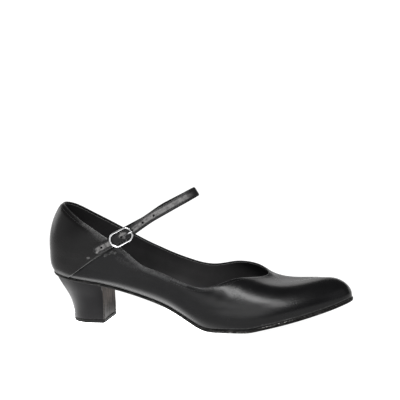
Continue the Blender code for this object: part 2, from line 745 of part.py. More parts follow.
def make_prong(material, collection, plane):
    """Prong hooked round the centre bar, up through the strap and onto the frame."""
    bar_out, frame_out = buckle_levels()
    hook = BAR_WIRE + GAP + PRONG_WIRE
    path = []
    for degrees in PRONG_HOOK:
        angle = math.radians(degrees)
        path.append((hook * math.cos(angle), bar_out + hook * math.sin(angle)))
    over_strap = 0.5 * STRAP_THICKNESS + GAP + PRONG_WIRE
    over_frame = frame_out + FRAME_WIRE + GAP + PRONG_WIRE
    frame_end = 0.5 * BUCKLE_LENGTH - FRAME_WIRE
    path += [(PRONG_CLEAR, over_strap), (frame_end, over_frame), (frame_end + PRONG_TIP, over_frame)]
    places = [(BUCKLE_ALONG + along, BUCKLE_Y - out, 0.0) for along, out in path]
    return wire("buckle_prong", places, PRONG_WIRE, False, material, collection, plane)


def centre_over_footprint(root, parts):
    """Move the root so that the shoe's box is centred on the origin and stands on the floor."""
    bpy.context.view_layer.update()
    view = bpy.context.evaluated_depsgraph_get()
    corners = []
    for part in parts:
        seen = part.evaluated_get(view)
        corners += [seen.matrix_world @ Vector(corner) for corner in seen.bound_box]
    low = [min(corner[axis] for corner in corners) for axis in range(3)]
    high = [max(corner[axis] for corner in corners) for axis in range(3)]
    root.location = (-0.5 * (low[0] + high[0]), -0.5 * (low[1] + high[1]), -low[2])
    bpy.context.view_layer.update()


def main():
    """Build every piece of the shoe."""
    clear_scene()
    collection = new_collection("dance_shoe")
    cutters = new_collection("dance_shoe_cutters")
    root = link_object("shoe_root", None, None, collection, None)
    plane = link_object("strap_plane", None, None, collection, root)
    plane.location = Vector(STRAP_ORIGIN) * MM
    plane.rotation_euler = (0.0, -STRAP_RISE, 0.0)
    leather = finish_material("strap_leather", UPPER_LEATHER)
    chrome = finish_material("buckle_metal", BUCKLE_CHROME)
    parts = [
        make_outsole(collection, root),
        make_upper(collection, root),
        make_insole(collection, root),
        make_heel(collection, root),
        make_top_piece(collection, root),
        make_strap(leather, collection, cutters, plane),
        make_tab(leather, collection, cutters, plane),
        make_buckle_frame(chrome, collection, cutters, plane),
        make_prong(chrome, collection, plane),
    ]
    centre_over_footprint(root, parts)


main()
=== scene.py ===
"""Looks of a right-foot character dance shoe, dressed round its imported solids.

Shapes are worked out in the shoe's own millimetres, measured from the back of the heel: x runs to
the toe, y to the inner (medial) side of the foot and z up from the floor. closed_mesh turns them
into metres in the row frame, where every piece rides on the shoe's one body.
"""

import logging
import math
from collections.abc import Callable, Sequence
from dataclasses import dataclass
from enum import Enum
from typing import NamedTuple

import bmesh
import bpy
import numpy as np
from bpy.types import ID, Material, Mesh, Node, NodeSocket, NodeTree, Object
from mathutils import Matrix, Vector


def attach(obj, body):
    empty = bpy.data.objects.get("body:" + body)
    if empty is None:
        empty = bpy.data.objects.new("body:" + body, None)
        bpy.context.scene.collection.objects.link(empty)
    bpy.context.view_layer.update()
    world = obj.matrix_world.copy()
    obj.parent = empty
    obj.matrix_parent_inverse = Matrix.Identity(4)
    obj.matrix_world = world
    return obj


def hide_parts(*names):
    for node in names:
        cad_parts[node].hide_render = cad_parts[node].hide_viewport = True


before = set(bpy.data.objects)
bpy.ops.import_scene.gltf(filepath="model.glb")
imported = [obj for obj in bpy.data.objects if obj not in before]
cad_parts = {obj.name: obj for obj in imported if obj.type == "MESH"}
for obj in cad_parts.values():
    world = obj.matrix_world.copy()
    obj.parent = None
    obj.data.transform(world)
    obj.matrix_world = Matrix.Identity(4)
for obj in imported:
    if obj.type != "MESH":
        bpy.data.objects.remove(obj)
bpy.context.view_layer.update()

LOG = logging.getLogger("dance_shoe")
MM = 0.001
DESIGN_ORIGIN = np.array((-0.129877, 0.000717, 0.0))
SHARP_DEGREES = 45.0
TINY = 1e-9
WHITE = (1.0, 1.0, 1.0, 1.0)

Array = np.ndarray
Pair = tuple[float, float]
Triple = tuple[float, float, float]
Curve = Callable[[Array], Array]
Faces = list[tuple[int, ...]]


class Side(Enum):
    """Side of the foot, with the sign of its y."""

    LATERAL = -1
    MEDIAL = 1


class Ease(Enum):
    """How a value changes along a ramp."""

    EVEN = "LINEAR"
    SOFT = "SMOOTHSTEP"


class Blend(Enum):
    """How one colour goes over another."""

    COVER = "MIX"
    TINT = "MULTIPLY"


class PlanRow(NamedTuple):
    """Edges of the sole beside the foot's middle line at one x."""

    x: float
    lateral: float
    medial: float


class ProfileRow(NamedTuple):
    """Height of the sole's underside and its thickness at one x."""

    x: float
    bottom: float
    thickness: float


class Section(NamedTuple):
    """Curve up the upper's outer face, from the sole (foot) to the topline (top).

    low_x, low_out and low_rise place its lower handle beside the sole's edge; reach and drop place
    its upper handle towards the lower one and below the topline.
    """

    foot_x: float
    low_x: float
    low_out: float
    low_rise: float
    top_x: float
    top_y: float
    top_z: float
    reach: float
    drop: float


class HeelRow(NamedTuple):
    """Plan of the heel at one height of its back line."""

    height: float
    back_x: float
    half_width: float
    breast_half: float


class EdgeRow(NamedTuple):
    """Loop of a layer's edge: how far it is drawn in, and its share of the layer's height."""

    inset: float
    height: float


class LiftRow(NamedTuple):
    """Loop of the lift's edge: its height in millimetres, and how far it is drawn in."""

    height: float
    inset: float


class StitchRing(NamedTuple):
    """Ring of one stitch: its place along the half length, its thickness and how deep it sinks."""

    along: float
    thickness: float
    sink: float


class Sewing(NamedTuple):
    """Row of stitches: distance from one to the next, length, and radius of the thread."""

    pitch: float
    length: float
    radius: float


HEEL_TIP = (3.0, 0.0)
TOE_TIP = (259.8, 5.0)
SOLE_PLAN = (
    PlanRow(9.0, 16.5, 16.5),
    PlanRow(20.0, 23.2, 23.2),
    PlanRow(36.0, 26.0, 26.0),
    PlanRow(57.0, 26.4, 25.4),
    PlanRow(80.0, 27.6, 23.2),
    PlanRow(105.0, 31.4, 23.2),
    PlanRow(130.0, 37.4, 28.2),
    PlanRow(150.0, 41.2, 34.0),
    PlanRow(168.0, 42.0, 38.8),
    PlanRow(186.0, 40.2, 41.0),
    PlanRow(206.0, 35.0, 39.0),
    PlanRow(226.0, 26.4, 33.0),
    PlanRow(242.0, 17.0, 26.0),
    PlanRow(253.5, 7.6, 18.2),
)
REAR_PROFILE = (
    ProfileRow(0.0, 41.6, 2.2),
    ProfileRow(23.0, 37.6, 2.2),
    ProfileRow(42.0, 35.0, 2.2),
    ProfileRow(57.0, 32.4, 2.2),
    ProfileRow(74.0, 28.4, 2.2),
    ProfileRow(92.0, 23.4, 2.3),
    ProfileRow(110.0, 17.2, 2.5),
    ProfileRow(129.0, 7.4, 2.8),
    ProfileRow(142.0, 1.3, 3.0),
    ProfileRow(153.0, 0.0, 3.0),
)
FRONT_PROFILE = (
    ProfileRow(178.0, 0.0, 3.0),
    ProfileRow(190.0, 1.7, 3.0),
    ProfileRow(212.0, 6.3, 3.0),
    ProfileRow(235.0, 12.0, 3.0),
    ProfileRow(252.0, 17.0, 3.0),
    ProfileRow(262.0, 20.4, 3.0),
)
LATERAL_SEAM = Section(22.0, 36.0, 3.0, 9.0, 67.5, -27.6, 69.8, 0.50, 8.0)
LATERAL_FRONT = (
    Section(42.0, 53.0, 3.2, 7.5, 77.0, -28.3, 62.0, 0.50, 7.0),
    Section(62.0, 70.0, 3.2, 7.0, 87.5, -29.2, 53.6, 0.50, 6.5),
    Section(85.0, 91.0, 3.2, 7.0, 103.0, -31.0, 48.3, 0.50, 6.5),
    Section(108.0, 111.0, 3.2, 8.0, 117.0, -33.0, 43.0, 0.50, 7.0),
    Section(130.0, 130.5, 3.2, 9.5, 131.0, -34.8, 38.3, 0.60, 8.5),
    Section(150.0, 148.0, 3.0, 12.0, 143.0, -35.2, 36.9, 0.65, 9.5),
    Section(168.0, 164.0, 2.8, 14.0, 154.0, -33.0, 39.2, 0.65, 9.0),
    Section(190.0, 184.0, 2.4, 16.0, 166.0, -26.5, 43.0, 0.60, 8.5),
    Section(212.0, 206.0, 2.0, 18.0, 174.0, -20.0, 43.4, 0.55, 8.0),
    Section(235.0, 231.0, 0.6, 24.5, 182.0, -11.5, 42.2, 0.46, 11.6),
    Section(252.0, 250.0, -5.0, 32.0, 187.0, -4.0, 41.4, 0.38, 15.0),
)
TOE_SECTION = Section(259.8, 259.8, -9.0, 35.0, 189.0, 3.0, 41.8, 0.34, 19.0)
MEDIAL_FRONT = (
    Section(253.0, 251.0, -6.0, 34.4, 187.5, 8.5, 43.2, 0.38, 22.5),
    Section(240.0, 236.0, -1.0, 34.5, 183.0, 14.0, 44.8, 0.46, 23.0),
    Section(220.0, 214.0, 2.0, 28.5, 176.0, 20.0, 46.2, 0.52, 21.0),
    Section(200.0, 194.0, 2.4, 19.0, 166.0, 26.0, 46.8, 0.58, 13.5),
    Section(182.0, 176.0, 2.6, 17.0, 155.0, 30.5, 46.2, 0.60, 9.5),
    Section(163.0, 159.0, 2.8, 14.0, 145.0, 32.2, 44.2, 0.60, 9.5),
    Section(146.0, 144.0, 3.0, 12.0, 134.0, 32.0, 42.6, 0.55, 10.0),
    Section(127.0, 127.0, 3.4, 11.0, 123.0, 30.4, 44.0, 0.50, 10.0),
    Section(105.0, 108.0, 4.5, 9.0, 113.0, 29.2, 47.2, 0.50, 9.0),
    Section(82.0, 88.0, 4.2, 8.5, 101.0, 28.2, 51.8, 0.50, 8.0),
    Section(60.0, 69.0, 3.5, 8.0, 89.0, 27.4, 57.2, 0.50, 7.5),
    Section(41.0, 52.0, 3.2, 8.0, 78.0, 26.8, 62.4, 0.50, 7.5),
)
MEDIAL_SEAM = Section(22.0, 36.0, 3.0, 9.0, 67.5, 26.4, 67.8, 0.50, 8.0)
MEDIAL_COUNTER = (
    Section(20.0, 31.5, 3.1, 11.0, 57.0, 25.8, 73.2, 0.52, 11.0),
    Section(17.0, 26.0, 3.3, 13.5, 45.0, 24.0, 80.0, 0.56, 13.5),
    Section(13.5, 18.0, 3.6, 16.0, 32.0, 19.6, 88.0, 0.64, 16.0),
    Section(8.5, 9.5, 4.2, 18.0, 20.5, 12.5, 96.0, 0.80, 17.5),
)
HEEL_SECTION = Section(3.0, 3.0, 5.4, 19.5, 12.4, 0.0, 100.0, 0.96, 18.0)
LATERAL_COUNTER = (
    Section(8.5, 9.5, 4.2, 18.0, 20.5, -12.5, 96.2, 0.80, 17.5),
    Section(13.5, 18.0, 3.6, 16.0, 32.0, -19.6, 89.4, 0.64, 16.0),
    Section(17.0, 26.0, 3.3, 13.5, 45.0, -24.2, 82.4, 0.56, 13.5),
    Section(20.0, 31.5, 3.1, 11.0, 57.0, -26.6, 75.4, 0.52, 11.0),
)
HEEL_LEVELS = (
    HeelRow(0.0, 18.8, 17.6, 17.4),
    HeelRow(4.0, 18.5, 17.6, 17.4),
    HeelRow(10.5, 18.3, 17.7, 17.3),
    HeelRow(18.0, 16.7, 18.2, 17.2),
    HeelRow(25.5, 13.0, 19.4, 17.2),
    HeelRow(32.8, 8.2, 21.8, 17.6),
    HeelRow(39.0, 4.6, 24.0, 18.6),
)
STRAP_PATH = (
    (-12.0, 22.95), (0.0, 22.95), (14.0, 22.4), (32.0, 19.8), (52.0, 15.0), (68.0, 9.2),
    (77.0, 4.8), (80.0, 0.0), (77.0, -5.2), (68.0, -10.6), (52.0, -19.0), (36.0, -26.4),
    (25.0, -30.0), (14.5, -31.0), (4.0, -31.1), (-3.5, -31.0), (-9.0, -29.75), (-14.5, -29.5),
)
STITCH_SIDES = 6
STITCH_RINGS = (
    StitchRing(-1.0, 0.3, -1.0), StitchRing(-0.78, 0.85, -0.45), StitchRing(-0.3, 1.0, 0.0),
    StitchRing(0.3, 1.0, 0.0), StitchRing(0.78, 0.85, -0.45), StitchRing(1.0, 0.3, -1.0),
)
BOX_FACES = [(0, 1, 3, 2), (4, 6, 7, 5), (0, 4, 5, 1), (2, 3, 7, 6), (0, 2, 6, 4), (1, 5, 7, 3)]


def cubic_curve(knots: Sequence[float], values: Sequence[float],
                start_slope: float | None = None, end_slope: float | None = None) -> Curve:
    """Smooth curve through values at knots.

    Args:
        knots: Rising places of the values.
        values: Heights of the curve at the knots.
        start_slope: Slope at the first knot, or None to leave that end straight.
        end_slope: Slope at the last knot, or None to leave that end straight.

    Returns:
        A function of places along the knots.
    """
    knot = np.asarray(knots, float)
    value = np.asarray(values, float)
    count = len(knot)
    step = np.diff(knot)
    rise = np.diff(value) / step
    system = np.zeros((count, count))
    right = np.zeros(count)
    for i in range(1, count - 1):
        system[i, i - 1:i + 2] = step[i], 2.0 * (step[i - 1] + step[i]), step[i - 1]
        right[i] = 3.0 * (step[i] * rise[i - 1] + step[i - 1] * rise[i])
    system[0, :2] = (2.0, 1.0) if start_slope is None else (1.0, 0.0)
    right[0] = 3.0 * rise[0] if start_slope is None else start_slope
    system[-1, -2:] = (1.0, 2.0) if end_slope is None else (0.0, 1.0)
    right[-1] = 3.0 * rise[-1] if end_slope is None else end_slope
    slope = np.linalg.solve(system, right)

    def curve(at: Array) -> Array:
        """Height of the curve at places along its knots.

        Args:
            at: The places.

        Returns:
            The heights.
        """
        place = np.asarray(at, float)
        i = np.clip(np.searchsorted(knot, place) - 1, 0, count - 2)
        t = (place - knot[i]) / step[i]
        start = value[i] * (1 + 2 * t) * (1 - t) ** 2 + slope[i] * step[i] * t * (1 - t) ** 2
        end = value[i + 1] * t ** 2 * (3 - 2 * t) + slope[i + 1] * step[i] * t ** 2 * (t - 1)
        return start + end

    return curve


def chord_lengths(points: Array) -> Array:
    """Running length along a list of points, from zero."""
    steps = np.linalg.norm(np.diff(np.asarray(points, float), axis=0), axis=1)
    return np.concatenate([[0.0], np.cumsum(steps)])


def smooth_step(low: float, high: float, value: Array) -> Array:
    """Soft rise from 0 at low to 1 at high; a high below low falls instead."""
    share = np.clip((np.asarray(value, float) - low) / (high - low), 0.0, 1.0)
    return share * share * (3.0 - 2.0 * share)


def hump(value: Array, centre: float, width: float) -> Array:
    """Soft bell that is 1 at centre and falls away over width."""
    return np.exp(-((value - centre) / width) ** 2)


def crowded_shares(count: int, evenness: float) -> Array:
    """Shares from 0 to 1 that stand closer together at both ends.

    Args:
        count: Number of shares.
        evenness: 1 for even steps, less for crowded ends.

    Returns:
        The shares.
    """
    even = np.linspace(0.0, 1.0, count)
    return evenness * even + 0.5 * (1.0 - evenness) * (1.0 - np.cos(math.pi * even))


def along_run(places: Array, run: Array, values: Array) -> Array:
    """Rows of values at places along a run, where run gives the place of each row."""
    return np.stack([np.interp(places, run, column) for column in values.T], axis=1)


def unit(vectors: Array) -> Array:
    """Vectors along the last axis, made one long."""
    return vectors / np.maximum(np.linalg.norm(vectors, axis=-1, keepdims=True), TINY)


def wall_normals(points: Array) -> Array:
    """Outward normals of a wall, given as a closed ring of rows of points."""
    around = np.roll(points, -1, axis=0) - np.roll(points, 1, axis=0)
    return unit(np.cross(around, np.gradient(points, axis=1)))


def segment_distance(points: Array, start: Array, end: Array) -> Array:
    """Distance of points from a straight segment.

    Args:
        points: Points along the last axis.
        start: First end of the segment.
        end: Other end of the segment.

    Returns:
        The distances.
    """
    run = end - start
    share = np.clip((points - start) @ run / (run @ run), 0.0, 1.0)
    return np.linalg.norm(points - (start + share[..., None] * run), axis=-1)


def loft_faces(stations: int, loop: int, closed: bool) -> Faces:
    """Quads between closed loops of points at stations along a run.

    Args:
        stations: Number of loops.
        loop: Points in each loop.
        closed: Whether the last loop joins the first one.

    Returns:
        The faces, as indices into the loops laid end to end.
    """
    faces = []
    for i in range(stations if closed else stations - 1):
        here = i * loop
        after = (i + 1) % stations * loop
        for j in range(loop):
            k = (j + 1) % loop
            faces.append((here + j, after + j, after + k, here + k))
    return faces


def capped_faces(stations: int, loop: int, base: int = 0) -> Faces:
    """Quads between loops at stations along a run, with one face over each end.

    Args:
        stations: Number of loops.
        loop: Points in each loop.
        base: Index of the first loop's first point.

    Returns:
        The faces, as indices into the loops laid end to end.
    """
    last = (stations - 1) * loop
    faces = loft_faces(stations, loop, False)
    faces += [tuple(range(loop)), tuple(range(last, last + loop))]
    return [tuple(base + i for i in face) for face in faces]


def plate_faces(stations: int, loop: int) -> Faces:
    """Quads between loops of a flat piece, with rungs across its underside and its top.

    Args:
        stations: Number of loops.
        loop: Points in each loop, which stand in lateral and medial pairs.

    Returns:
        The faces, as indices into the loops laid end to end.
    """
    half = loop // 2
    rungs = [(0, 1, loop - 1)]
    rungs += [(i, i + 1, loop - i - 1, loop - i) for i in range(1, half - 1)]
    rungs.append((half - 1, half, half + 1))
    faces = loft_faces(stations, loop, False)
    for base in (0, (stations - 1) * loop):
        faces += [tuple(base + i for i in rung) for rung in rungs]
    return faces


def tube_points(path: Array, radius: Array, sides: int, closed: bool) -> Array:
    """Points of a round wire along a path, one ring for each point of the path.

    Args:
        path: Points of the wire's middle line.
        radius: Radius at each point.
        sides: Points in each ring.
        closed: Whether the path is a loop.

    Returns:
        Rings of points, laid end to end.
    """
    if closed:
        tangent = unit(np.roll(path, -1, axis=0) - np.roll(path, 1, axis=0))
    else:
        tangent = unit(np.gradient(path, axis=0))
    spread = path - path.mean(axis=0)
    flat_normal = np.linalg.svd(spread)[2][-1]
    beside = unit(np.cross(tangent, flat_normal))
    above = np.cross(beside, tangent)
    turn = np.linspace(0.0, 2.0 * math.pi, sides, endpoint=False)
    ring = (np.cos(turn)[None, :, None] * beside[:, None]
            + np.sin(turn)[None, :, None] * above[:, None])
    return (path[:, None] + np.asarray(radius)[:, None, None] * ring).reshape(-1, 3)


class SoleForm:
    """Plan outline and side profile of the sole, from the heel along the lateral side."""

    SAMPLES = 4000
    LAP = 3
    SLOPE_REACH = 0.05
    EVENNESS = 0.5

    def __init__(self) -> None:
        """Fits the outline and the profiles to the tables."""
        lateral = [(row.x, -row.lateral) for row in SOLE_PLAN]
        medial = [(row.x, row.medial) for row in reversed(SOLE_PLAN)]
        corners = [HEEL_TIP, *lateral, TOE_TIP, *medial]
        lap = np.array(corners[-self.LAP:] + corners + corners[:self.LAP + 1])
        lengths = chord_lengths(lap)
        lengths = lengths - lengths[self.LAP]
        self.length = lengths[self.LAP + len(corners)]
        self.curve_x = cubic_curve(lengths, lap[:, 0])
        self.curve_y = cubic_curve(lengths, lap[:, 1])
        self.places = np.linspace(0.0, self.length, self.SAMPLES)
        self.place_x = self.curve_x(self.places)
        self.toe_at = self.places[np.argmax(self.place_x)]
        self.bottom = self._profile("bottom")
        self.thickness = self._profile("thickness")

    @staticmethod
    def _profile(column: str) -> Curve:
        """Value of a profile column along x, level on the tread.

        Args:
            column: Name of the column.

        Returns:
            A function of x.
        """
        rear = cubic_curve([row.x for row in REAR_PROFILE],
                           [getattr(row, column) for row in REAR_PROFILE], end_slope=0.0)
        front = cubic_curve([row.x for row in FRONT_PROFILE],
                            [getattr(row, column) for row in FRONT_PROFILE], start_slope=0.0)
        tread_rear = REAR_PROFILE[-1].x
        tread_front = FRONT_PROFILE[0].x
        level = getattr(FRONT_PROFILE[0], column)

        def profile(x: Array) -> Array:
            """Value of the column at x.

            Args:
                x: Places along the foot.

            Returns:
                The values.
            """
            place = np.asarray(x, float)
            ahead = np.where(place >= tread_front, front(np.maximum(place, tread_front)), level)
            return np.where(place <= tread_rear, rear(np.minimum(place, tread_rear)), ahead)

        return profile

    def top(self, x: Array) -> Array:
        """Height of the outsole's upper face."""
        return self.bottom(x) + self.thickness(x)

    def at_x(self, x: float, side: Side) -> float:
        """Place along the outline at x, on one side of the foot.

        Args:
            x: Place along the foot.
            side: Side of the foot.

        Returns:
            The place, as a length along the outline.
        """
        before_toe = self.places <= self.toe_at
        on_side = before_toe if side is Side.LATERAL else ~before_toe
        return self.places[on_side][np.argmin(np.abs(self.place_x[on_side] - x))]

    def outline(self, at: Array, inset: float = 0.0) -> tuple[Array, Array]:
        """Plan points and outward normals at places along the outline.

        Args:
            at: Places, as lengths along the outline.
            inset: How far the points are drawn in.

        Returns:
            The points and the normals.
        """
        place = np.mod(np.asarray(at, float), self.length)
        before, after = place - self.SLOPE_REACH, place + self.SLOPE_REACH
        run_x = self.curve_x(after) - self.curve_x(before)
        run_y = self.curve_y(after) - self.curve_y(before)
        normal = unit(np.stack([run_y, -run_x], axis=-1))
        plan = np.stack([self.curve_x(place), self.curve_y(place)], axis=-1)
        return plan - inset * normal, normal

    def paired_places(self, count: int) -> Array:
        """Places in lateral and medial pairs, closer together at heel and toe.

        Args:
            count: Number of pairs between heel and toe.

        Returns:
            The places, as lengths along the outline.
        """
        share = crowded_shares(count + 2, self.EVENNESS)
        lateral = share[:-1] * self.toe_at
        medial = self.length - share[:0:-1] * (self.length - self.toe_at)
        return np.concatenate([lateral, medial])


@dataclass
class Wall:
    """Grid of points over the upper's outer face, one row of points for each station round it."""

    points: Array
    normals: Array
    below_top: Array
    above_foot: Array
    counter_start: int

    def at_depth(self, depth: float, lift: float) -> tuple[Array, Array]:
        """Line round the wall at a depth below the topline.

        Args:
            depth: Distance below the topline.
            lift: Distance off the wall's face.

        Returns:
            Points of the line and the wall's normals there, one for each station.
        """
        places = []
        normals = []
        for points, normal, below in zip(self.points, self.normals, self.below_top):
            after = int(np.argmax(below <= depth))
            share = (below[after - 1] - depth) / (below[after - 1] - below[after])
            aim = unit(normal[after - 1] + share * (normal[after] - normal[after - 1]))
            place = points[after - 1] + share * (points[after] - points[after - 1])
            places.append(place + lift * aim)
            normals.append(aim)
        return np.array(places), np.array(normals)


@dataclass
class UpperForm:
    """Shape of the last that the upper is drawn over."""

    sole: SoleForm
    sole_rim: float = 0.6
    foot_gap: float = 0.4
    row_evenness: float = 0.45

    def _blend(self, rows: Sequence[Section], count: int) -> Array:
        """Sections spread evenly along a run of rows, blended column by column.

        Args:
            rows: Sections of the run.
            count: Number of sections to make.

        Returns:
            One row for each section, with its places along the sole's outline first.
        """
        columns = []
        for row in rows:
            ahead = row.top_y < 0.0 or row is TOE_SECTION or row is HEEL_SECTION
            side = Side.LATERAL if ahead else Side.MEDIAL
            places = [self.sole.at_x(row.foot_x, side), self.sole.at_x(row.low_x, side)]
            columns.append([*places, *row[2:]])
        table = np.array(columns)
        if rows[0].top_y > 0.0:
            table[table[:, 0] < 0.5 * self.sole.length, :2] += self.sole.length
        lengths = 0.5 * chord_lengths(table[:, 4:7]) + 0.5 * np.abs(table[:, 0] - table[0, 0])
        places = np.linspace(0.0, lengths[-1], count)
        return np.stack([cubic_curve(lengths, column)(places) for column in table.T], axis=1)

    def wall(self, front: int, counter: int, rows: int, trim: float = 0.0) -> Wall:
        """Outer face of the upper.

        Args:
            front: Stations from the lateral seam round the toe to the medial seam.
            counter: Stations from the medial seam round the heel to the lateral one.
            rows: Points up each section.
            trim: Distance by which the face stops short of the topline.

        Returns:
            The grid of points, with the distances that its finishes use.
        """
        panel = self._blend(
            [LATERAL_SEAM, *LATERAL_FRONT, TOE_SECTION, *MEDIAL_FRONT, MEDIAL_SEAM], front)
        rear = self._blend(
            [MEDIAL_SEAM, *MEDIAL_COUNTER, HEEL_SECTION, *LATERAL_COUNTER, LATERAL_SEAM], counter)
        sections = np.concatenate([panel, rear[1:-1]])
        foot_plan, _ = self.sole.outline(sections[:, 0], self.sole_rim)
        low_plan, low_normal = self.sole.outline(sections[:, 1], self.sole_rim)
        low_out, low_rise, top_x, top_y, top_z, reach, drop = sections[:, 2:].T
        foot_z = self.sole.top(foot_plan[:, 0]) + self.foot_gap
        low_plan = low_plan + low_out[:, None] * low_normal
        top_plan = np.stack([top_x, top_y], axis=1)
        high_plan = top_plan + reach[:, None] * (low_plan - top_plan)
        foot = np.column_stack([foot_plan, foot_z])
        low = np.column_stack([low_plan, foot_z + low_rise])
        high = np.column_stack([high_plan, top_z - drop])
        top = np.column_stack([top_plan, top_z])
        spread = crowded_shares(rows, self.row_evenness)
        last = 1.0 - trim / (3.0 * np.linalg.norm(top - high, axis=1))
        v = (last[:, None] * spread[None, :])[..., None]
        points = ((1 - v) ** 3 * foot[:, None] + 3 * (1 - v) ** 2 * v * low[:, None]
                  + 3 * (1 - v) * v ** 2 * high[:, None] + v ** 3 * top[:, None])
        steps = np.linalg.norm(np.diff(points, axis=1), axis=2)
        above_foot = np.concatenate([np.zeros((len(points), 1)), np.cumsum(steps, axis=1)], axis=1)
        below_top = above_foot[:, -1:] - above_foot + trim
        return Wall(points, wall_normals(points), below_top, above_foot, front)


class NodeGraph:
    """Short way to add linked nodes to one node tree."""

    MIX_COLOURS = (0, 6, 7)
    MIX_RESULT = 2

    def __init__(self, tree: NodeTree) -> None:
        """Works on an empty or given tree."""
        self.tree = tree

    def add(self, kind: str, inputs: dict[str | int, object] | None = None,
            **settings: object) -> Node:
        """Adds a shader node.

        Args:
            kind: Its type, without the word ShaderNode.
            inputs: Value or linked socket for each input, by name or number.
            **settings: The node's own properties.

        Returns:
            The node.
        """
        node = self.tree.nodes.new("ShaderNode" + kind)
        for name, value in settings.items():
            setattr(node, name, value)
        self.feed(node, inputs or {})
        return node

    def feed(self, node: Node, inputs: dict[str | int, object]) -> None:
        """Sets or links inputs of a node.

        Args:
            node: The node.
            inputs: Value or linked socket for each input, by name or number.
        """
        for key, value in inputs.items():
            if isinstance(value, NodeSocket):
                self.tree.links.new(value, node.inputs[key])
            else:
                node.inputs[key].default_value = value

    def group(self, effect: NodeTree, **inputs: object) -> Node:
        """A shared effect, with a value or linked socket for each of its named inputs."""
        return self.add("Group", inputs, node_tree=effect)

    def math(self, operation: str, *values: object) -> NodeSocket:
        """Result of a Math node on values or sockets."""
        return self.add("Math", dict(enumerate(values)), operation=operation).outputs[0]

    def vector(self, operation: str, *values: object) -> NodeSocket:
        """Result of a Vector Math node on vectors or sockets."""
        return self.add("VectorMath", dict(enumerate(values)), operation=operation).outputs[0]

    def noise(self, place: NodeSocket, detail: float, roughness: float = 0.5,
              scale: float = 1.0) -> Node:
        """Soft noise over a place.

        Args:
            place: Coordinates of the surface.
            detail: Number of finer layers.
            roughness: Share of the finer layers.
            scale: Waves in one unit of the place.

        Returns:
            The texture node.
        """
        return self.add("TexNoise", {"Vector": place, "Scale": scale, "Detail": detail,
                                     "Roughness": roughness})

    def ramp(self, value: object, low: float, high: float, start: object = 0.0,
             end: object = 1.0, ease: Ease = Ease.SOFT) -> NodeSocket:
        """Change from start to end as a value goes from low to high.

        Args:
            value: The value or its socket.
            low: Where the change starts.
            high: Where it ends.
            start: Result up to low.
            end: Result from high on.
            ease: How it changes on the way.

        Returns:
            The result.
        """
        node = self.add("MapRange", {"Value": value, "From Min": low, "From Max": high,
                                     "To Min": start, "To Max": end},
                        interpolation_type=ease.value)
        return node.outputs[0]

    def mix(self, factor: object, first: object, second: object,
            blend: Blend = Blend.COVER) -> NodeSocket:
        """Colour between two colours or sockets.

        Args:
            factor: Share of the second colour.
            first: The first colour.
            second: The second colour.
            blend: How the second colour goes over the first.

        Returns:
            The colour.
        """
        inputs = dict(zip(self.MIX_COLOURS, (factor, first, second)))
        node = self.add("Mix", inputs, data_type="RGBA", blend_type=blend.value)
        return node.outputs[self.MIX_RESULT]

    def tint(self, colour: object, tone: object) -> NodeSocket:
        """A colour made lighter or darker by a tone."""
        return self.mix(1.0, colour, tone, Blend.TINT)

    def bump(self, height: NodeSocket, strength: float,
             depth_mm: float) -> NodeSocket:
        """Normal of a surface with fine relief.

        Args:
            height: Height of the relief.
            strength: Share of it that shows.
            depth_mm: Its depth in millimetres.

        Returns:
            The normal.
        """
        node = self.add("Bump", {"Height": height, "Strength": strength,
                                 "Distance": depth_mm * MM})
        return node.outputs["Normal"]

    def object_place(self) -> NodeSocket:
        """The surface's place in the row frame, in metres."""
        return self.add("TexCoord").outputs["Object"]

    def mask(self, name: str) -> NodeSocket:
        """A mask that the mesh carries, from 0 to 1."""
        return self.add("Attribute", attribute_name=name).outputs["Fac"]


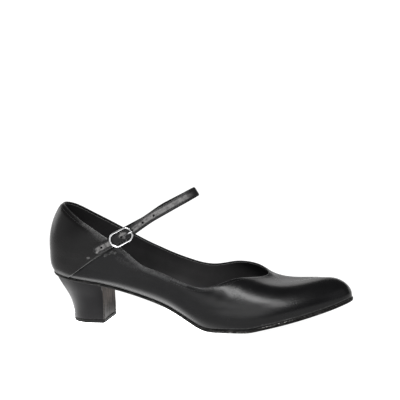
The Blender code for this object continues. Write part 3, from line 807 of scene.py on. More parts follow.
class Effects:
    """Shader node groups that several finishes share."""

    WARP_SCALE = 0.55
    WARP_DETAIL = 2.0
    WARP_REACH = (0.9, 0.9, 0.9)
    PEBBLE_EDGE = 0.32
    PORE_SCALE = 3.4
    PORE_DETAIL = 2.0
    PORE_HEIGHT = 0.45
    MOTTLE_DETAIL = 4.0
    MOTTLE_ROUGHNESS = 0.58
    MOTTLE_RANGE = (0.3, 0.7)
    WEAR_DETAIL = 5.0
    WEAR_ROUGHNESS = 0.65
    WEAR_RANGE = (0.34, 0.62)
    WEAR_GAIN = 1.3
    WEAR_EDGE = (0.06, 0.95)
    MARK_DETAIL = 3.0
    MARK_MIDDLE = 0.5
    MARK_WIDTH = 0.05

    def __init__(self) -> None:
        """Builds each group once."""
        self.grain = self._grain()
        self.mottle = self._mottle()
        self.painted_light_and_wear_mask = self._wear_and_painted_light()
        self.scratches = self._scratches()

    @staticmethod
    def _open(name: str, inputs: dict[str, str],
              outputs: Sequence[str]) -> tuple[NodeGraph, Node, Node]:
        """Starts a node group.

        Args:
            name: Name of the group.
            inputs: Kind of each input, by name: Float or Vector.
            outputs: Names of its float outputs.

        Returns:
            The graph, its input node and its output node.
        """
        tree = bpy.data.node_groups.new(name, "ShaderNodeTree")
        for label, kind in inputs.items():
            tree.interface.new_socket(label, in_out="INPUT", socket_type="NodeSocket" + kind)
        for label in outputs:
            tree.interface.new_socket(label, in_out="OUTPUT", socket_type="NodeSocketFloat")
        return NodeGraph(tree), tree.nodes.new("NodeGroupInput"), tree.nodes.new("NodeGroupOutput")

    @staticmethod
    def _cells(graph: NodeGraph, entry: Node) -> NodeSocket:
        """Coordinates counted in units of the group's Size, which is in millimetres.

        Args:
            graph: The group's graph.
            entry: Its input node.

        Returns:
            The coordinates.
        """
        scale = graph.math("DIVIDE", 1.0 / MM, entry.outputs["Size"])
        return graph.vector("MULTIPLY", entry.outputs["Coordinates"], scale)

    def _grain(self) -> NodeTree:
        """Fine pebbles of smooth leather, with their creases and pores.

        Returns:
            The group.
        """
        graph, entry, leave = self._open(
            "leather_grain", {"Coordinates": "Vector", "Size": "Float"}, ("Height", "Tone"))
        cells = self._cells(graph, entry)
        warp = graph.noise(cells, self.WARP_DETAIL, scale=self.WARP_SCALE)
        bent = graph.vector("MULTIPLY_ADD", warp.outputs["Color"], self.WARP_REACH, cells)
        edge = graph.add("TexVoronoi", {"Vector": bent, "Scale": 1.0}, feature="DISTANCE_TO_EDGE")
        cell = graph.add("TexVoronoi", {"Vector": bent, "Scale": 1.0})
        pores = graph.noise(cells, self.PORE_DETAIL, scale=self.PORE_SCALE)
        pebble = graph.ramp(edge.outputs["Distance"], 0.0, self.PEBBLE_EDGE)
        height = graph.math("MULTIPLY_ADD", pores.outputs["Fac"], self.PORE_HEIGHT, pebble)
        tone = graph.add("SeparateColor", {0: cell.outputs["Color"]}).outputs[0]
        graph.feed(leave, {"Height": height, "Tone": tone})
        return graph.tree

    def _mottle(self) -> NodeTree:
        """Broad uneven tone of dyed leather.

        Returns:
            The group.
        """
        graph, entry, leave = self._open(
            "broad_mottle",
            {"Coordinates": "Vector", "Size": "Float", "Low": "Float", "High": "Float"}, ("Tone",))
        noise = graph.noise(self._cells(graph, entry), self.MOTTLE_DETAIL, self.MOTTLE_ROUGHNESS)
        tone = graph.ramp(noise.outputs["Fac"], *self.MOTTLE_RANGE, entry.outputs["Low"],
                          entry.outputs["High"], Ease.EVEN)
        graph.feed(leave, {"Tone": tone})
        return graph.tree

    def _wear_and_painted_light(self) -> NodeTree:
        """Patches: a mask of abrasion and painted light, broken up by noise, which holds a share
        of it where it is low.

        Returns:
            The group.
        """
        graph, entry, leave = self._open(
            "patchy_wear_and_painted_light", {"Coordinates": "Vector", "Size": "Float", "Hold": "Float",
                             "Mask": "Float"}, ("Patchy",))
        noise = graph.noise(self._cells(graph, entry), self.WEAR_DETAIL, self.WEAR_ROUGHNESS)
        kept = graph.ramp(noise.outputs["Fac"], *self.WEAR_RANGE, entry.outputs["Hold"],
                          self.WEAR_GAIN)
        broken = graph.math("MULTIPLY", entry.outputs["Mask"], kept)
        graph.feed(leave, {"Patchy": graph.ramp(broken, *self.WEAR_EDGE)})
        return graph.tree

    def _scratches(self) -> NodeTree:
        """Thin marks drawn out along one direction.

        Returns:
            The group.
        """
        graph, entry, leave = self._open(
            "drawn_marks", {"Coordinates": "Vector", "Size": "Float", "Stretch": "Vector"},
            ("Marks",))
        drawn = graph.vector("MULTIPLY", self._cells(graph, entry), entry.outputs["Stretch"])
        noise = graph.noise(drawn, self.MARK_DETAIL)
        off = graph.math("SUBTRACT", noise.outputs["Fac"], self.MARK_MIDDLE)
        marks = graph.ramp(graph.math("ABSOLUTE", off), self.MARK_WIDTH, 0.0)
        graph.feed(leave, {"Marks": marks})
        return graph.tree


def start_material(name: str) -> tuple[Material, NodeGraph, Node]:
    """Starts a material with its nodes.

    Args:
        name: Name of the material.

    Returns:
        The material, its graph and its shader.
    """
    material = bpy.data.materials.new(name)
    material.use_nodes = True
    return material, NodeGraph(material.node_tree), material.node_tree.nodes["Principled BSDF"]


@dataclass(frozen=True)
class LeatherFinish:
    """Dyed leather: tone, gloss, grain, and a second colour for abrasion and for painted
    highlights and shade.
    """

    name: str
    slot: str
    colour: Triple
    # Second colour: where the leather shows abrasion, and where highlights and shade are painted
    # on.
    wear_and_painted_light_colour: Triple
    roughness: float = 0.26
    worn_roughness: float = 0.46
    specular: float = 0.22
    grain_mm: float = 0.8
    grain_depth_mm: float = 0.02
    mottle_mm: float = 14.0
    mottle: float = 0.18
    wear_mm: float = 1.6
    wear_hold: float = 0.6
    marks: float = 0.0
    mark_mm: float = 3.0
    mark_stretch: Triple = (0.15, 1.0, 1.0)
    cell_tone: float = 0.16
    gloss_spread: float = 0.12
    grain_bump: float = 0.5

    def material(self, effects: Effects) -> Material:
        """Procedural material of the finish.

        Args:
            effects: The shared node groups.

        Returns:
            The material.
        """
        material, graph, shader = start_material(self.name)
        place = graph.object_place()
        grain = graph.group(effects.grain, Coordinates=place, Size=self.grain_mm)
        tone = graph.group(effects.mottle, Coordinates=place, Size=self.mottle_mm,
                           Low=1.0 - self.mottle, High=1.0 + self.mottle).outputs[0]
        wear_and_painted_light = graph.group(effects.painted_light_and_wear_mask, Coordinates=place, Size=self.wear_mm,
                           Hold=self.wear_hold, Mask=graph.mask("wear_and_painted_light")).outputs[0]
        marks = graph.group(effects.scratches, Coordinates=place, Size=self.mark_mm,
                            Stretch=self.mark_stretch).outputs[0]
        cells = graph.math("MULTIPLY_ADD", grain.outputs["Tone"], self.cell_tone,
                           1.0 - 0.5 * self.cell_tone)
        dyed = graph.tint(graph.tint((*self.colour, 1.0), tone), cells)
        # The mask brings in the second colour: abrasion, drawn marks, and painted highlights and
        # shade.
        bared_and_painted_light = graph.math("MAXIMUM", wear_and_painted_light, graph.math("MULTIPLY", marks, self.marks))
        gloss = graph.math("MULTIPLY_ADD", tone, self.gloss_spread,
                           self.roughness - self.gloss_spread)
        graph.feed(shader, {
            "Specular IOR Level": self.specular,
            "Base Color": graph.mix(bared_and_painted_light, dyed, (*self.wear_and_painted_light_colour, 1.0)),
            "Roughness": graph.math("MULTIPLY_ADD", bared_and_painted_light, self.worn_roughness - self.roughness,
                                    gloss),
            "Normal": graph.bump(grain.outputs["Height"], self.grain_bump, self.grain_depth_mm),
        })
        return material


@dataclass(frozen=True)
class RubberFinish:
    """Matt black rubber with a ground face."""

    name: str = "lift_rubber"
    slot: str = "heel_rubber"
    colour: Triple = (0.0045, 0.0044, 0.0044)
    wear_and_painted_light_colour: Triple = (0.06, 0.058, 0.055)
    roughness: float = 0.62
    roughness_spread: float = 0.15
    specular: float = 0.08
    speckle_mm: float = 0.7
    speckle_depth_mm: float = 0.05
    speckle_tone: float = 0.5
    speckle_bump: float = 0.6
    wear_mm: float = 2.0
    wear_hold: float = 0.25

    def material(self, effects: Effects) -> Material:
        """Procedural material of the finish.

        Args:
            effects: The shared node groups.

        Returns:
            The material.
        """
        material, graph, shader = start_material(self.name)
        place = graph.object_place()
        speckle = graph.group(effects.mottle, Coordinates=place, Size=self.speckle_mm, Low=0.0,
                              High=1.0).outputs[0]
        wear_and_painted_light = graph.group(effects.painted_light_and_wear_mask, Coordinates=place, Size=self.wear_mm,
                           Hold=self.wear_hold, Mask=graph.mask("wear_and_painted_light")).outputs[0]
        tone = graph.math("MULTIPLY_ADD", speckle, self.speckle_tone,
                          1.0 - 0.5 * self.speckle_tone)
        moulded = graph.tint((*self.colour, 1.0), tone)
        graph.feed(shader, {
            "Specular IOR Level": self.specular,
            "Base Color": graph.mix(wear_and_painted_light, moulded, (*self.wear_and_painted_light_colour, 1.0)),
            "Roughness": graph.math("MULTIPLY_ADD", speckle, self.roughness_spread,
                                    self.roughness),
            "Normal": graph.bump(speckle, self.speckle_bump, self.speckle_depth_mm),
        })
        return material


@dataclass(frozen=True)
class MetalFinish:
    """Bright electroplated wire with faint handling marks, lighter where its mesh's mask is high.
    """

    name: str
    slot: str = "buckle_metal"
    colour: Triple = (0.36, 0.36, 0.365)
    # Lighter colour: a painted glint round the buckle frame, and a lighter tip on the prong.
    wear_and_painted_light_colour: Triple = (0.78, 0.78, 0.79)
    roughness: float = 0.14
    roughness_spread: float = 0.10
    mark_mm: float = 1.2
    mark_stretch: Triple = (0.3, 1.0, 1.0)
    marks: float = 0.5
    mark_tone: Triple = (0.7, 0.7, 0.7)

    def material(self, effects: Effects) -> Material:
        """Procedural material of the finish.

        Args:
            effects: The shared node groups.

        Returns:
            The material.
        """
        material, graph, shader = start_material(self.name)
        place = graph.object_place()
        tone = graph.group(effects.mottle, Coordinates=place, Size=self.mark_mm, Low=0.0,
                           High=1.0).outputs[0]
        marks = graph.group(effects.scratches, Coordinates=place, Size=self.mark_mm,
                            Stretch=self.mark_stretch).outputs[0]
        # Mask: painted glint on the frame, lighter tip on the prong.
        plated_and_brightened = graph.mix(graph.mask("wear_and_painted_light"), (*self.colour, 1.0), (*self.wear_and_painted_light_colour, 1.0))
        dulled = graph.tint(plated_and_brightened, (*self.mark_tone, 1.0))
        graph.feed(shader, {
            "Metallic": 1.0,
            "Base Color": graph.mix(graph.math("MULTIPLY", marks, self.marks), plated_and_brightened, dulled),
            "Roughness": graph.math("MULTIPLY_ADD", tone, self.roughness_spread, self.roughness),
        })
        return material


@dataclass(frozen=True)
class ThreadFinish:
    """Twisted sewing thread."""

    name: str
    slot: str
    colour: Triple
    roughness: float = 0.6
    twist_mm: float = 0.35
    twist_depth_mm: float = 0.05
    twist_tone: float = 0.5
    twist_bump: float = 0.5

    def material(self, effects: Effects) -> Material:
        """Procedural material of the finish.

        Args:
            effects: The shared node groups.

        Returns:
            The material.
        """
        material, graph, shader = start_material(self.name)
        twist = graph.group(effects.mottle, Coordinates=graph.object_place(), Size=self.twist_mm,
                            Low=0.0, High=1.0).outputs[0]
        tone = graph.math("MULTIPLY_ADD", twist, self.twist_tone, 1.0 - 0.5 * self.twist_tone)
        graph.feed(shader, {
            "Roughness": self.roughness,
            "Base Color": graph.tint((*self.colour, 1.0), tone),
            "Normal": graph.bump(twist, self.twist_bump, self.twist_depth_mm),
        })
        return material


Finish = LeatherFinish | RubberFinish | MetalFinish | ThreadFinish

# Upper and counter turn to their second colour where the leather shows abrasion and where
# highlights are painted along the topline, the collar and the feather edge.
UPPER_LEATHER = LeatherFinish("upper_leather_black", "upper_leather", (0.0042, 0.0042, 0.0046),
                              (0.060, 0.060, 0.061))
COUNTER_LEATHER = LeatherFinish("counter_leather_black", "upper_leather", (0.0045, 0.0043, 0.0044),
                                (0.060, 0.059, 0.059))
# The strap's second colour: abrasion along its face, with a painted sheen in its middle.
STRAP_LEATHER = LeatherFinish("strap_leather_black", "strap_leather", (0.0060, 0.0060, 0.0063),
                              (0.135, 0.132, 0.131), roughness=0.4, grain_mm=0.6, mottle_mm=5.0,
                              mottle=0.3, wear_mm=2.6, wear_hold=0.6)
# The lining's second colour shows along its top edge: partly abrasion, partly a painted highlight.
LINING = LeatherFinish("lining_black", "insole_lining", (0.017, 0.0165, 0.017),
                       (0.11, 0.11, 0.11), roughness=0.48, worn_roughness=0.45, grain_mm=0.5,
                       mottle_mm=20.0, wear_hold=0.8)
SOCK_LEATHER = LeatherFinish("sock_black", "insole_lining", (0.016, 0.016, 0.017),
                             (0.05, 0.048, 0.046), roughness=0.62, worn_roughness=0.5,
                             grain_mm=0.9, mottle_mm=18.0, mottle=0.3)
SOLE_EDGE_LEATHER = LeatherFinish("sole_leather_black", "sole_leather", (0.003, 0.0029, 0.0028),
                                  (0.38, 0.37, 0.36), roughness=0.55, worn_roughness=0.7,
                                  specular=0.08, grain_mm=0.6, mottle_mm=8.0, mottle=0.35,
                                  wear_mm=1.1, wear_hold=-0.5, marks=0.05, mark_mm=2.4)
HEEL_LEATHER = LeatherFinish("heel_leather_black", "heel_cover", (0.0032, 0.0030, 0.0034),
                             (0.05, 0.048, 0.046), roughness=0.42, specular=0.07,
                             mottle_mm=12.0)
# The breast's darker second colour: painted shade towards its foot, a dark line at each side edge,
# and its drawn marks.
BREAST_LEATHER = LeatherFinish("heel_breast_leather", "heel_cover", (0.034, 0.0295, 0.0270),
                               (0.003, 0.0028, 0.0027), roughness=0.5, specular=0.02,
                               mottle_mm=9.0, mottle=0.3, marks=0.8, mark_mm=3.4,
                               mark_stretch=(1.0, 1.0, 0.05))
LIFT_RUBBER = RubberFinish()
BUCKLE_METAL = MetalFinish("plated_wire")
PRONG_METAL = MetalFinish("dulled_wire", colour=(0.07, 0.07, 0.072), roughness=0.36)
BLACK_THREAD = ThreadFinish("black_thread", "upper_leather", (0.009, 0.009, 0.0094))
GREY_THREAD = ThreadFinish("grey_thread", "upper_leather", (0.024, 0.024, 0.0235))


class Workshop:
    """Finishes as materials, each made once."""

    def __init__(self) -> None:
        """Starts with the shared effects and no materials."""
        self.effects = Effects()
        self.made: dict[str, Material] = {}

    def material(self, finish: Finish) -> Material:
        """The material of a finish.

        Args:
            finish: The finish.

        Returns:
            Its material, made when it is first asked for.
        """
        if finish.name not in self.made:
            self.made[finish.name] = finish.material(self.effects)
        return self.made[finish.name]


def place_object(name: str, data: ID) -> Object:
    """Puts an object into the scene.

    Args:
        name: Name of the object.
        data: Its mesh, light or camera.

    Returns:
        The object.
    """
    placed = bpy.data.objects.new(name, data)
    bpy.context.scene.collection.objects.link(placed)
    return placed


def closed_mesh(name: str, points: Array, faces: Faces) -> Mesh:
    """Mesh in the row frame, with its faces turned outwards.

    Args:
        name: Name of the mesh.
        points: Its points, in design millimetres.
        faces: Its faces, as indices of points.

    Returns:
        The mesh.
    """
    mesh = bpy.data.meshes.new(name)
    mesh.from_pydata((MM * np.asarray(points) + DESIGN_ORIGIN).tolist(), [], faces)
    shape = bmesh.new()
    shape.from_mesh(mesh)
    bmesh.ops.recalc_face_normals(shape, faces=shape.faces)
    shape.to_mesh(mesh)
    shape.free()
    return mesh


@dataclass
class SubAssembly:
    """Pieces that are built together and ride on the shoe's one body."""

    shop: Workshop

    def add(self, name: str, points: Array, faces: Faces, finishes: Sequence[Finish],
            replaces: Sequence[str] = (), wear_and_painted_light: Array | None = None,
            face_finish: Sequence[int] | None = None) -> Object:
        """Makes one closed piece.

        Args:
            name: Name of the piece.
            points: Its points, in design millimetres.
            faces: Its faces, as indices of points.
            finishes: Its finishes.
            replaces: CAD nodes that it stands for.
            wear_and_painted_light: Share of abrasion and painted light at each point.
            face_finish: Number of the finish of each face, where there are several.

        Returns:
            The object.
        """
        mesh = closed_mesh(name, points, faces)
        for finish in finishes:
            mesh.materials.append(self.shop.material(finish))
        if face_finish is not None:
            mesh.polygons.foreach_set("material_index", np.asarray(face_finish, np.int32))
        # This mask holds abrasion together with painted highlights and shade; the finishes mix in
        # their second colour by it.
        painted_light_and_wear_mask = mesh.attributes.new("wear_and_painted_light", "FLOAT", "POINT")
        values = np.zeros(len(points)) if wear_and_painted_light is None else np.ravel(wear_and_painted_light)
        painted_light_and_wear_mask.data.foreach_set("value", values.astype(np.float32))
        mesh.shade_smooth()
        mesh.set_sharp_from_angle(angle=math.radians(SHARP_DEGREES))
        piece = place_object(name, mesh)
        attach(piece, "root")
        if replaces:
            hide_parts(*replaces)
        LOG.info("%s: %d points", name, len(points))
        return piece

    def stitches(self, name: str, line: Array, normals: Array, finish: Finish,
                 sewing: Sewing) -> Object:
        """Sews a row of stitches along a line on a surface.

        Args:
            name: Name of the piece.
            line: Points of the line, on the surface.
            normals: The surface's normals at the points.
            finish: The thread.
            sewing: Sizes of the stitches.

        Returns:
            The object.
        """
        run = chord_lengths(line)
        places = np.arange(0.5 * sewing.pitch, run[-1], sewing.pitch)
        centre = along_run(places, run, line)
        up = unit(along_run(places, run, normals))
        ahead = unit(along_run(places, run, np.gradient(line, run, axis=0)))
        beside = np.cross(up, ahead)
        along, thick, sink = np.array(STITCH_RINGS).T
        turn = np.linspace(0.0, 2.0 * math.pi, STITCH_SIDES, endpoint=False)
        across = sewing.radius * np.outer(thick, np.cos(turn))
        rise = sewing.radius * (np.outer(thick, np.sin(turn)) + sink[:, None])
        forward = np.repeat(0.5 * sewing.length * along[:, None], STITCH_SIDES, axis=1)
        points = (centre[:, None, None] + forward[None, ..., None] * ahead[:, None, None]
                  + across[None, ..., None] * beside[:, None, None]
                  + rise[None, ..., None] * up[:, None, None])
        size = len(STITCH_RINGS) * STITCH_SIDES
        faces = [face for k in range(len(places))
                 for face in capped_faces(len(STITCH_RINGS), STITCH_SIDES, k * size)]
        return self.add(name, points.reshape(-1, 3), faces, [finish])


@dataclass(frozen=True)
class Streak:
    """Soft mark along a straight line on a surface: a crease, a ridge, abraded leather or a
    painted highlight.
    """

    start: Triple
    end: Triple
    width: float
    strength: float

    def over(self, points: Array) -> Array:
        """Strength of the mark at points, in design millimetres."""
        distance = segment_distance(points, np.array(self.start), np.array(self.end))
        return self.strength * hump(distance, 0.0, self.width)


@dataclass
class Upper(SubAssembly):
    """Leather upper, its raised counter panel, its lining and the sewing on them."""

    form: UpperForm
    front_stations: int = 321
    counter_stations: int = 120
    rows: int = 56
    lining_rows: int = 30
    leather: float = 0.8
    lining: float = 0.5
    ply_gap: float = 0.05
    counter_rise: float = 0.6
    lining_trim: float = 1.1
    rim_points: int = 5
    inner_step: int = 5
    roll_width: float = 6.0
    roll_depth: float = 1.3
    roll_ease: float = 0.65
    roll_ease_from: Pair = (98.0, 126.0)
    rim_rub: float = 0.30
    rim_rub_depth: Pair = (1.5, 0.2)
    # Lighter top edge of the lining: partly abrasion, partly a painted highlight.
    lining_edge_lightening: float = 0.6
    lining_edge_lightening_depth: Pair = (2.6, 1.2)
    counter_skive: Pair = (0.45, 0.85)
    stitch_depth: float = 3.0
    stitch_lift: float = 0.06
    sewing: Sewing = Sewing(2.4, 1.9, 0.17)
    tack_start: Triple = (56.0, -28.5, 60.2)
    tack_end: Triple = (65.4, -28.5, 64.0)
    tack_legs: int = 11
    tack_slant: float = 1.2
    tack_lean: float = 0.4
    tack_share: float = 0.9
    tack_thread: float = 0.2
    seam_depth: float = 0.35
    seam_width: float = 0.55
    # Lighter edge of the counter panel at its seams: partly abrasion, partly a painted highlight.
    seam_edge_lightening: float = 0.4
    feather_bulge: float = 0.9
    feather_height: float = 3.0
    feather_fade: Pair = (18.0, 6.0)
    # Painted highlight along the feather edge, standing in for the pale floor's reflection there.
    feather_painted_highlight: float = 0.5
    feather_highlight_at: float = 0.9
    feather_highlight_width: float = 0.6
    creases: tuple[Streak, ...] = (
        Streak((72.0, -28.0, 60.0), (82.0, -29.0, 51.5), 2.6, -0.16),
        Streak((67.0, -28.0, 61.0), (76.0, -29.0, 51.5), 2.8, 0.16),
        Streak((137.0, 32.0, 40.5), (156.0, 30.5, 42.5), 1.7, 0.55),
        Streak((140.0, 32.0, 37.0), (160.0, 31.5, 39.5), 1.9, -0.45),
        Streak((150.0, -38.0, 22.0), (158.0, -36.0, 31.0), 4.5, -0.25),
        Streak((163.0, -39.0, 20.0), (169.0, -34.0, 32.0), 4.5, -0.22),
    )
    highlight_scuff_and_fleck_streaks: tuple[Streak, ...] = (
        # Painted highlights along the collar and the front topline.
        Streak((33.0, -21.0, 87.5), (44.0, -24.5, 81.6), 1.6, 0.62),
        Streak((44.0, -24.5, 81.2), (50.0, -25.8, 77.2), 2.1, 0.56),
        Streak((50.0, -25.8, 77.2), (61.0, -27.2, 71.0), 3.0, 0.46),
        Streak((76.0, -28.0, 60.6), (90.0, -29.4, 51.0), 2.9, 0.44),
        Streak((90.0, -29.4, 51.0), (112.0, -32.2, 43.4), 2.5, 0.52),
        Streak((112.0, -32.2, 43.8), (128.0, -34.4, 38.6), 1.3, 0.55),
        # Scuffs just above the sole at the ball.
        Streak((193.0, -38.4, 7.6), (216.0, -31.0, 11.6), 0.45, 0.8),
        # Small bright flecks on the counter and over the tack.
        Streak((41.1, -27.4, 58.1), (41.9, -27.4, 58.4), 0.75, 2.0),
        Streak((56.4, -28.1, 60.0), (57.0, -28.1, 61.4), 0.7, 1.5),
        Streak((61.0, -28.0, 63.0), (63.0, -28.0, 64.4), 0.8, 0.9),
        Streak((64.6, -28.0, 62.6), (66.0, -28.0, 63.5), 0.8, 1.0),
        # Painted sheen on the quarter below the tack.
        Streak((68.0, -28.8, 58.5), (84.0, -29.8, 50.5), 3.6, 0.24),
    )

    def _dressed_wall(self, rows: int, trim: float) -> Wall:
        """Wall with its rolled topline, seams, feather edge and creases.

        Args:
            rows: Points up each section.
            trim: Distance by which it stops short of the topline.

        Returns:
            The wall, with its normals worked out again.
        """
        wall = self.form.wall(self.front_stations, self.counter_stations, rows, trim)
        below = wall.below_top
        ahead = smooth_step(*self.roll_ease_from, wall.points[:, -1:, 0])
        roll = np.clip(1.0 - below / self.roll_width, 0.0, 1.0) ** 2
        lift = -self.roll_depth * (1.0 - self.roll_ease * ahead) * roll
        for seam in (0, wall.counter_start - 1):
            away = np.linalg.norm(wall.points - wall.points[seam], axis=2)
            lift -= self.seam_depth * hump(away, 0.0, self.seam_width)
        above = wall.above_foot
        tuck = 1.0 - hump(above, 0.0, self.feather_height)
        lift += self.feather_bulge * tuck * smooth_step(*self.feather_fade, above)
        for crease in self.creases:
            lift += crease.over(wall.points)
        points = wall.points + lift[..., None] * wall.normals
        return Wall(points, wall_normals(points), below, above, wall.counter_start)

    def _shell(self, wall: Wall, stations: Array, outer: Array, inner: Array,
               wear_and_painted_light: Array) -> tuple[Array, Array]:
        """Closed loops round one ply, with a rounded rim at the topline.

        Args:
            wall: The wall that the ply lies on.
            stations: Numbers of its stations.
            outer: Distance of its outer face off the wall, at each station.
            inner: Distance of its inner face, at each station.
            wear_and_painted_light: Abrasion and painted light over the wall.

        Returns:
            The loops of points and the abrasion and painted light at each of them.
        """
        points = wall.points[stations]
        normals = wall.normals[stations]
        outside = points + outer[:, None, None] * normals
        inside = (points + inner[:, None, None] * normals)[:, ::-self.inner_step]
        rise = unit(points[:, -1] - points[:, -2])
        out = normals[:, -1]
        middle = points[:, -1] + 0.5 * (outer + inner)[:, None] * out
        turn = np.linspace(0.0, math.pi, self.rim_points + 2)[1:-1]
        arc = (np.cos(turn)[None, :, None] * out[:, None]
               + np.sin(turn)[None, :, None] * rise[:, None])
        rim = middle[:, None] + 0.5 * (outer - inner)[:, None, None] * arc
        painted_light_and_wear_mask = wear_and_painted_light[stations]
        edge = np.repeat(painted_light_and_wear_mask[:, -1:], rim.shape[1], axis=1)
        hidden = np.zeros(inside.shape[:2])
        return (np.concatenate([outside, rim, inside], axis=1),
                np.concatenate([painted_light_and_wear_mask, edge, hidden], axis=1))

    def _wear_and_painted_light(self, wall: Wall) -> Array:
        """Share of abrasion and painted light over a wall: its abraded top edge, a painted
        highlight along the feather edge and the listed marks: painted highlights, scuffs and small
        flecks.

        Args:
            wall: The wall.

        Returns:
            The wear at each of its points.
        """
        painted_light_and_wear_mask = self.rim_rub * smooth_step(*self.rim_rub_depth, wall.below_top)
        # Painted highlight along the feather edge.
        feather = hump(wall.above_foot, self.feather_highlight_at, self.feather_highlight_width)
        painted_light_and_wear_mask = np.maximum(painted_light_and_wear_mask, self.feather_painted_highlight * feather)
        for streak in self.highlight_scuff_and_fleck_streaks:
            painted_light_and_wear_mask = np.maximum(painted_light_and_wear_mask, streak.over(wall.points))
        return painted_light_and_wear_mask

    def build(self) -> None:
        """Builds the leather shell, the counter panel, the lining and the sewing."""
        wall = self._dressed_wall(self.rows, 0.0)
        count = len(wall.points)
        wear_and_painted_light = self._wear_and_painted_light(wall)
        ring = np.arange(count)
        face = np.zeros(count)
        loops, painted_light_and_wear_mask = self._shell(wall, ring, face, face - self.leather, wear_and_painted_light)
        self.add("vamp_and_quarters", loops.reshape(-1, 3),
                 loft_faces(count, loops.shape[1], True), [UPPER_LEATHER], ["upper"], painted_light_and_wear_mask)
        self._counter_panel(wall, wear_and_painted_light)
        inside = self._dressed_wall(self.lining_rows, self.lining_trim)
        outer = face - self.leather - self.ply_gap
        # Lining's lighter top edge: partly abrasion, partly a painted highlight.
        wear_and_painted_light = self.lining_edge_lightening * smooth_step(*self.lining_edge_lightening_depth, inside.below_top)
        loops, painted_light_and_wear_mask = self._shell(inside, ring, outer, outer - self.lining, wear_and_painted_light)
        self.add("lining", loops.reshape(-1, 3), loft_faces(count, loops.shape[1], True), [LINING],
                 wear_and_painted_light=painted_light_and_wear_mask)
        self._sewing(wall)

    def _counter_panel(self, wall: Wall, wear_and_painted_light: Array) -> None:
        """Builds the panel that lies over the heel, from seam to seam.

        Args:
            wall: The wall that it lies on.
            wear_and_painted_light: Abrasion and painted light over the wall.
        """
        stations = np.concatenate([np.arange(wall.counter_start - 1, len(wall.points)), [0]])
        at_seams = stations[[1, -2]]
        wear_and_painted_light = wear_and_painted_light.copy()
        # Lighter panel edge at both seams: partly abrasion, partly a painted highlight.
        wear_and_painted_light[at_seams] = np.maximum(wear_and_painted_light[at_seams], self.seam_edge_lightening)
        rise = np.full(len(stations), self.counter_rise)
        for i, share in enumerate(self.counter_skive):
            rise[[i, -1 - i]] *= share
        loops, painted_light_and_wear_mask = self._shell(wall, stations, rise, np.full(len(stations), self.ply_gap), wear_and_painted_light)
        self.add("counter_panel", loops.reshape(-1, 3),
                 capped_faces(len(stations), loops.shape[1]), [COUNTER_LEATHER], ["upper"], painted_light_and_wear_mask)

    def _sewing(self, wall: Wall) -> None:
        """Sews the folded topline and the tack below the lateral seam.

        Args:
            wall: The wall that the stitches lie on.
        """
        raised = np.zeros(len(wall.points))
        raised[wall.counter_start:] = self.counter_rise
        line, normals = wall.at_depth(self.stitch_depth, self.stitch_lift)
        line = line + raised[:, None] * normals
        line = np.concatenate([line, line[:1]])
        normals = np.concatenate([normals, normals[:1]])
        self.stitches("topline_stitches", line, normals, BLACK_THREAD, self.sewing)
        start, end = np.array(self.tack_start), np.array(self.tack_end)
        legs = np.arange(self.tack_legs + 1)
        slant = self.tack_slant * np.where(legs % 2, 1.0, -1.0)
        tack = start + (legs / self.tack_legs)[:, None] * (end - start)
        tack[:, 0] -= self.tack_lean * slant
        tack[:, 2] += slant
        facing = np.tile((0.0, -1.0, 0.0), (len(tack), 1))
        pitch = chord_lengths(tack)[-1] / self.tack_legs
        self.stitches("seam_tack", tack, facing, GREY_THREAD,
                      Sewing(pitch, self.tack_share * pitch, self.tack_thread))


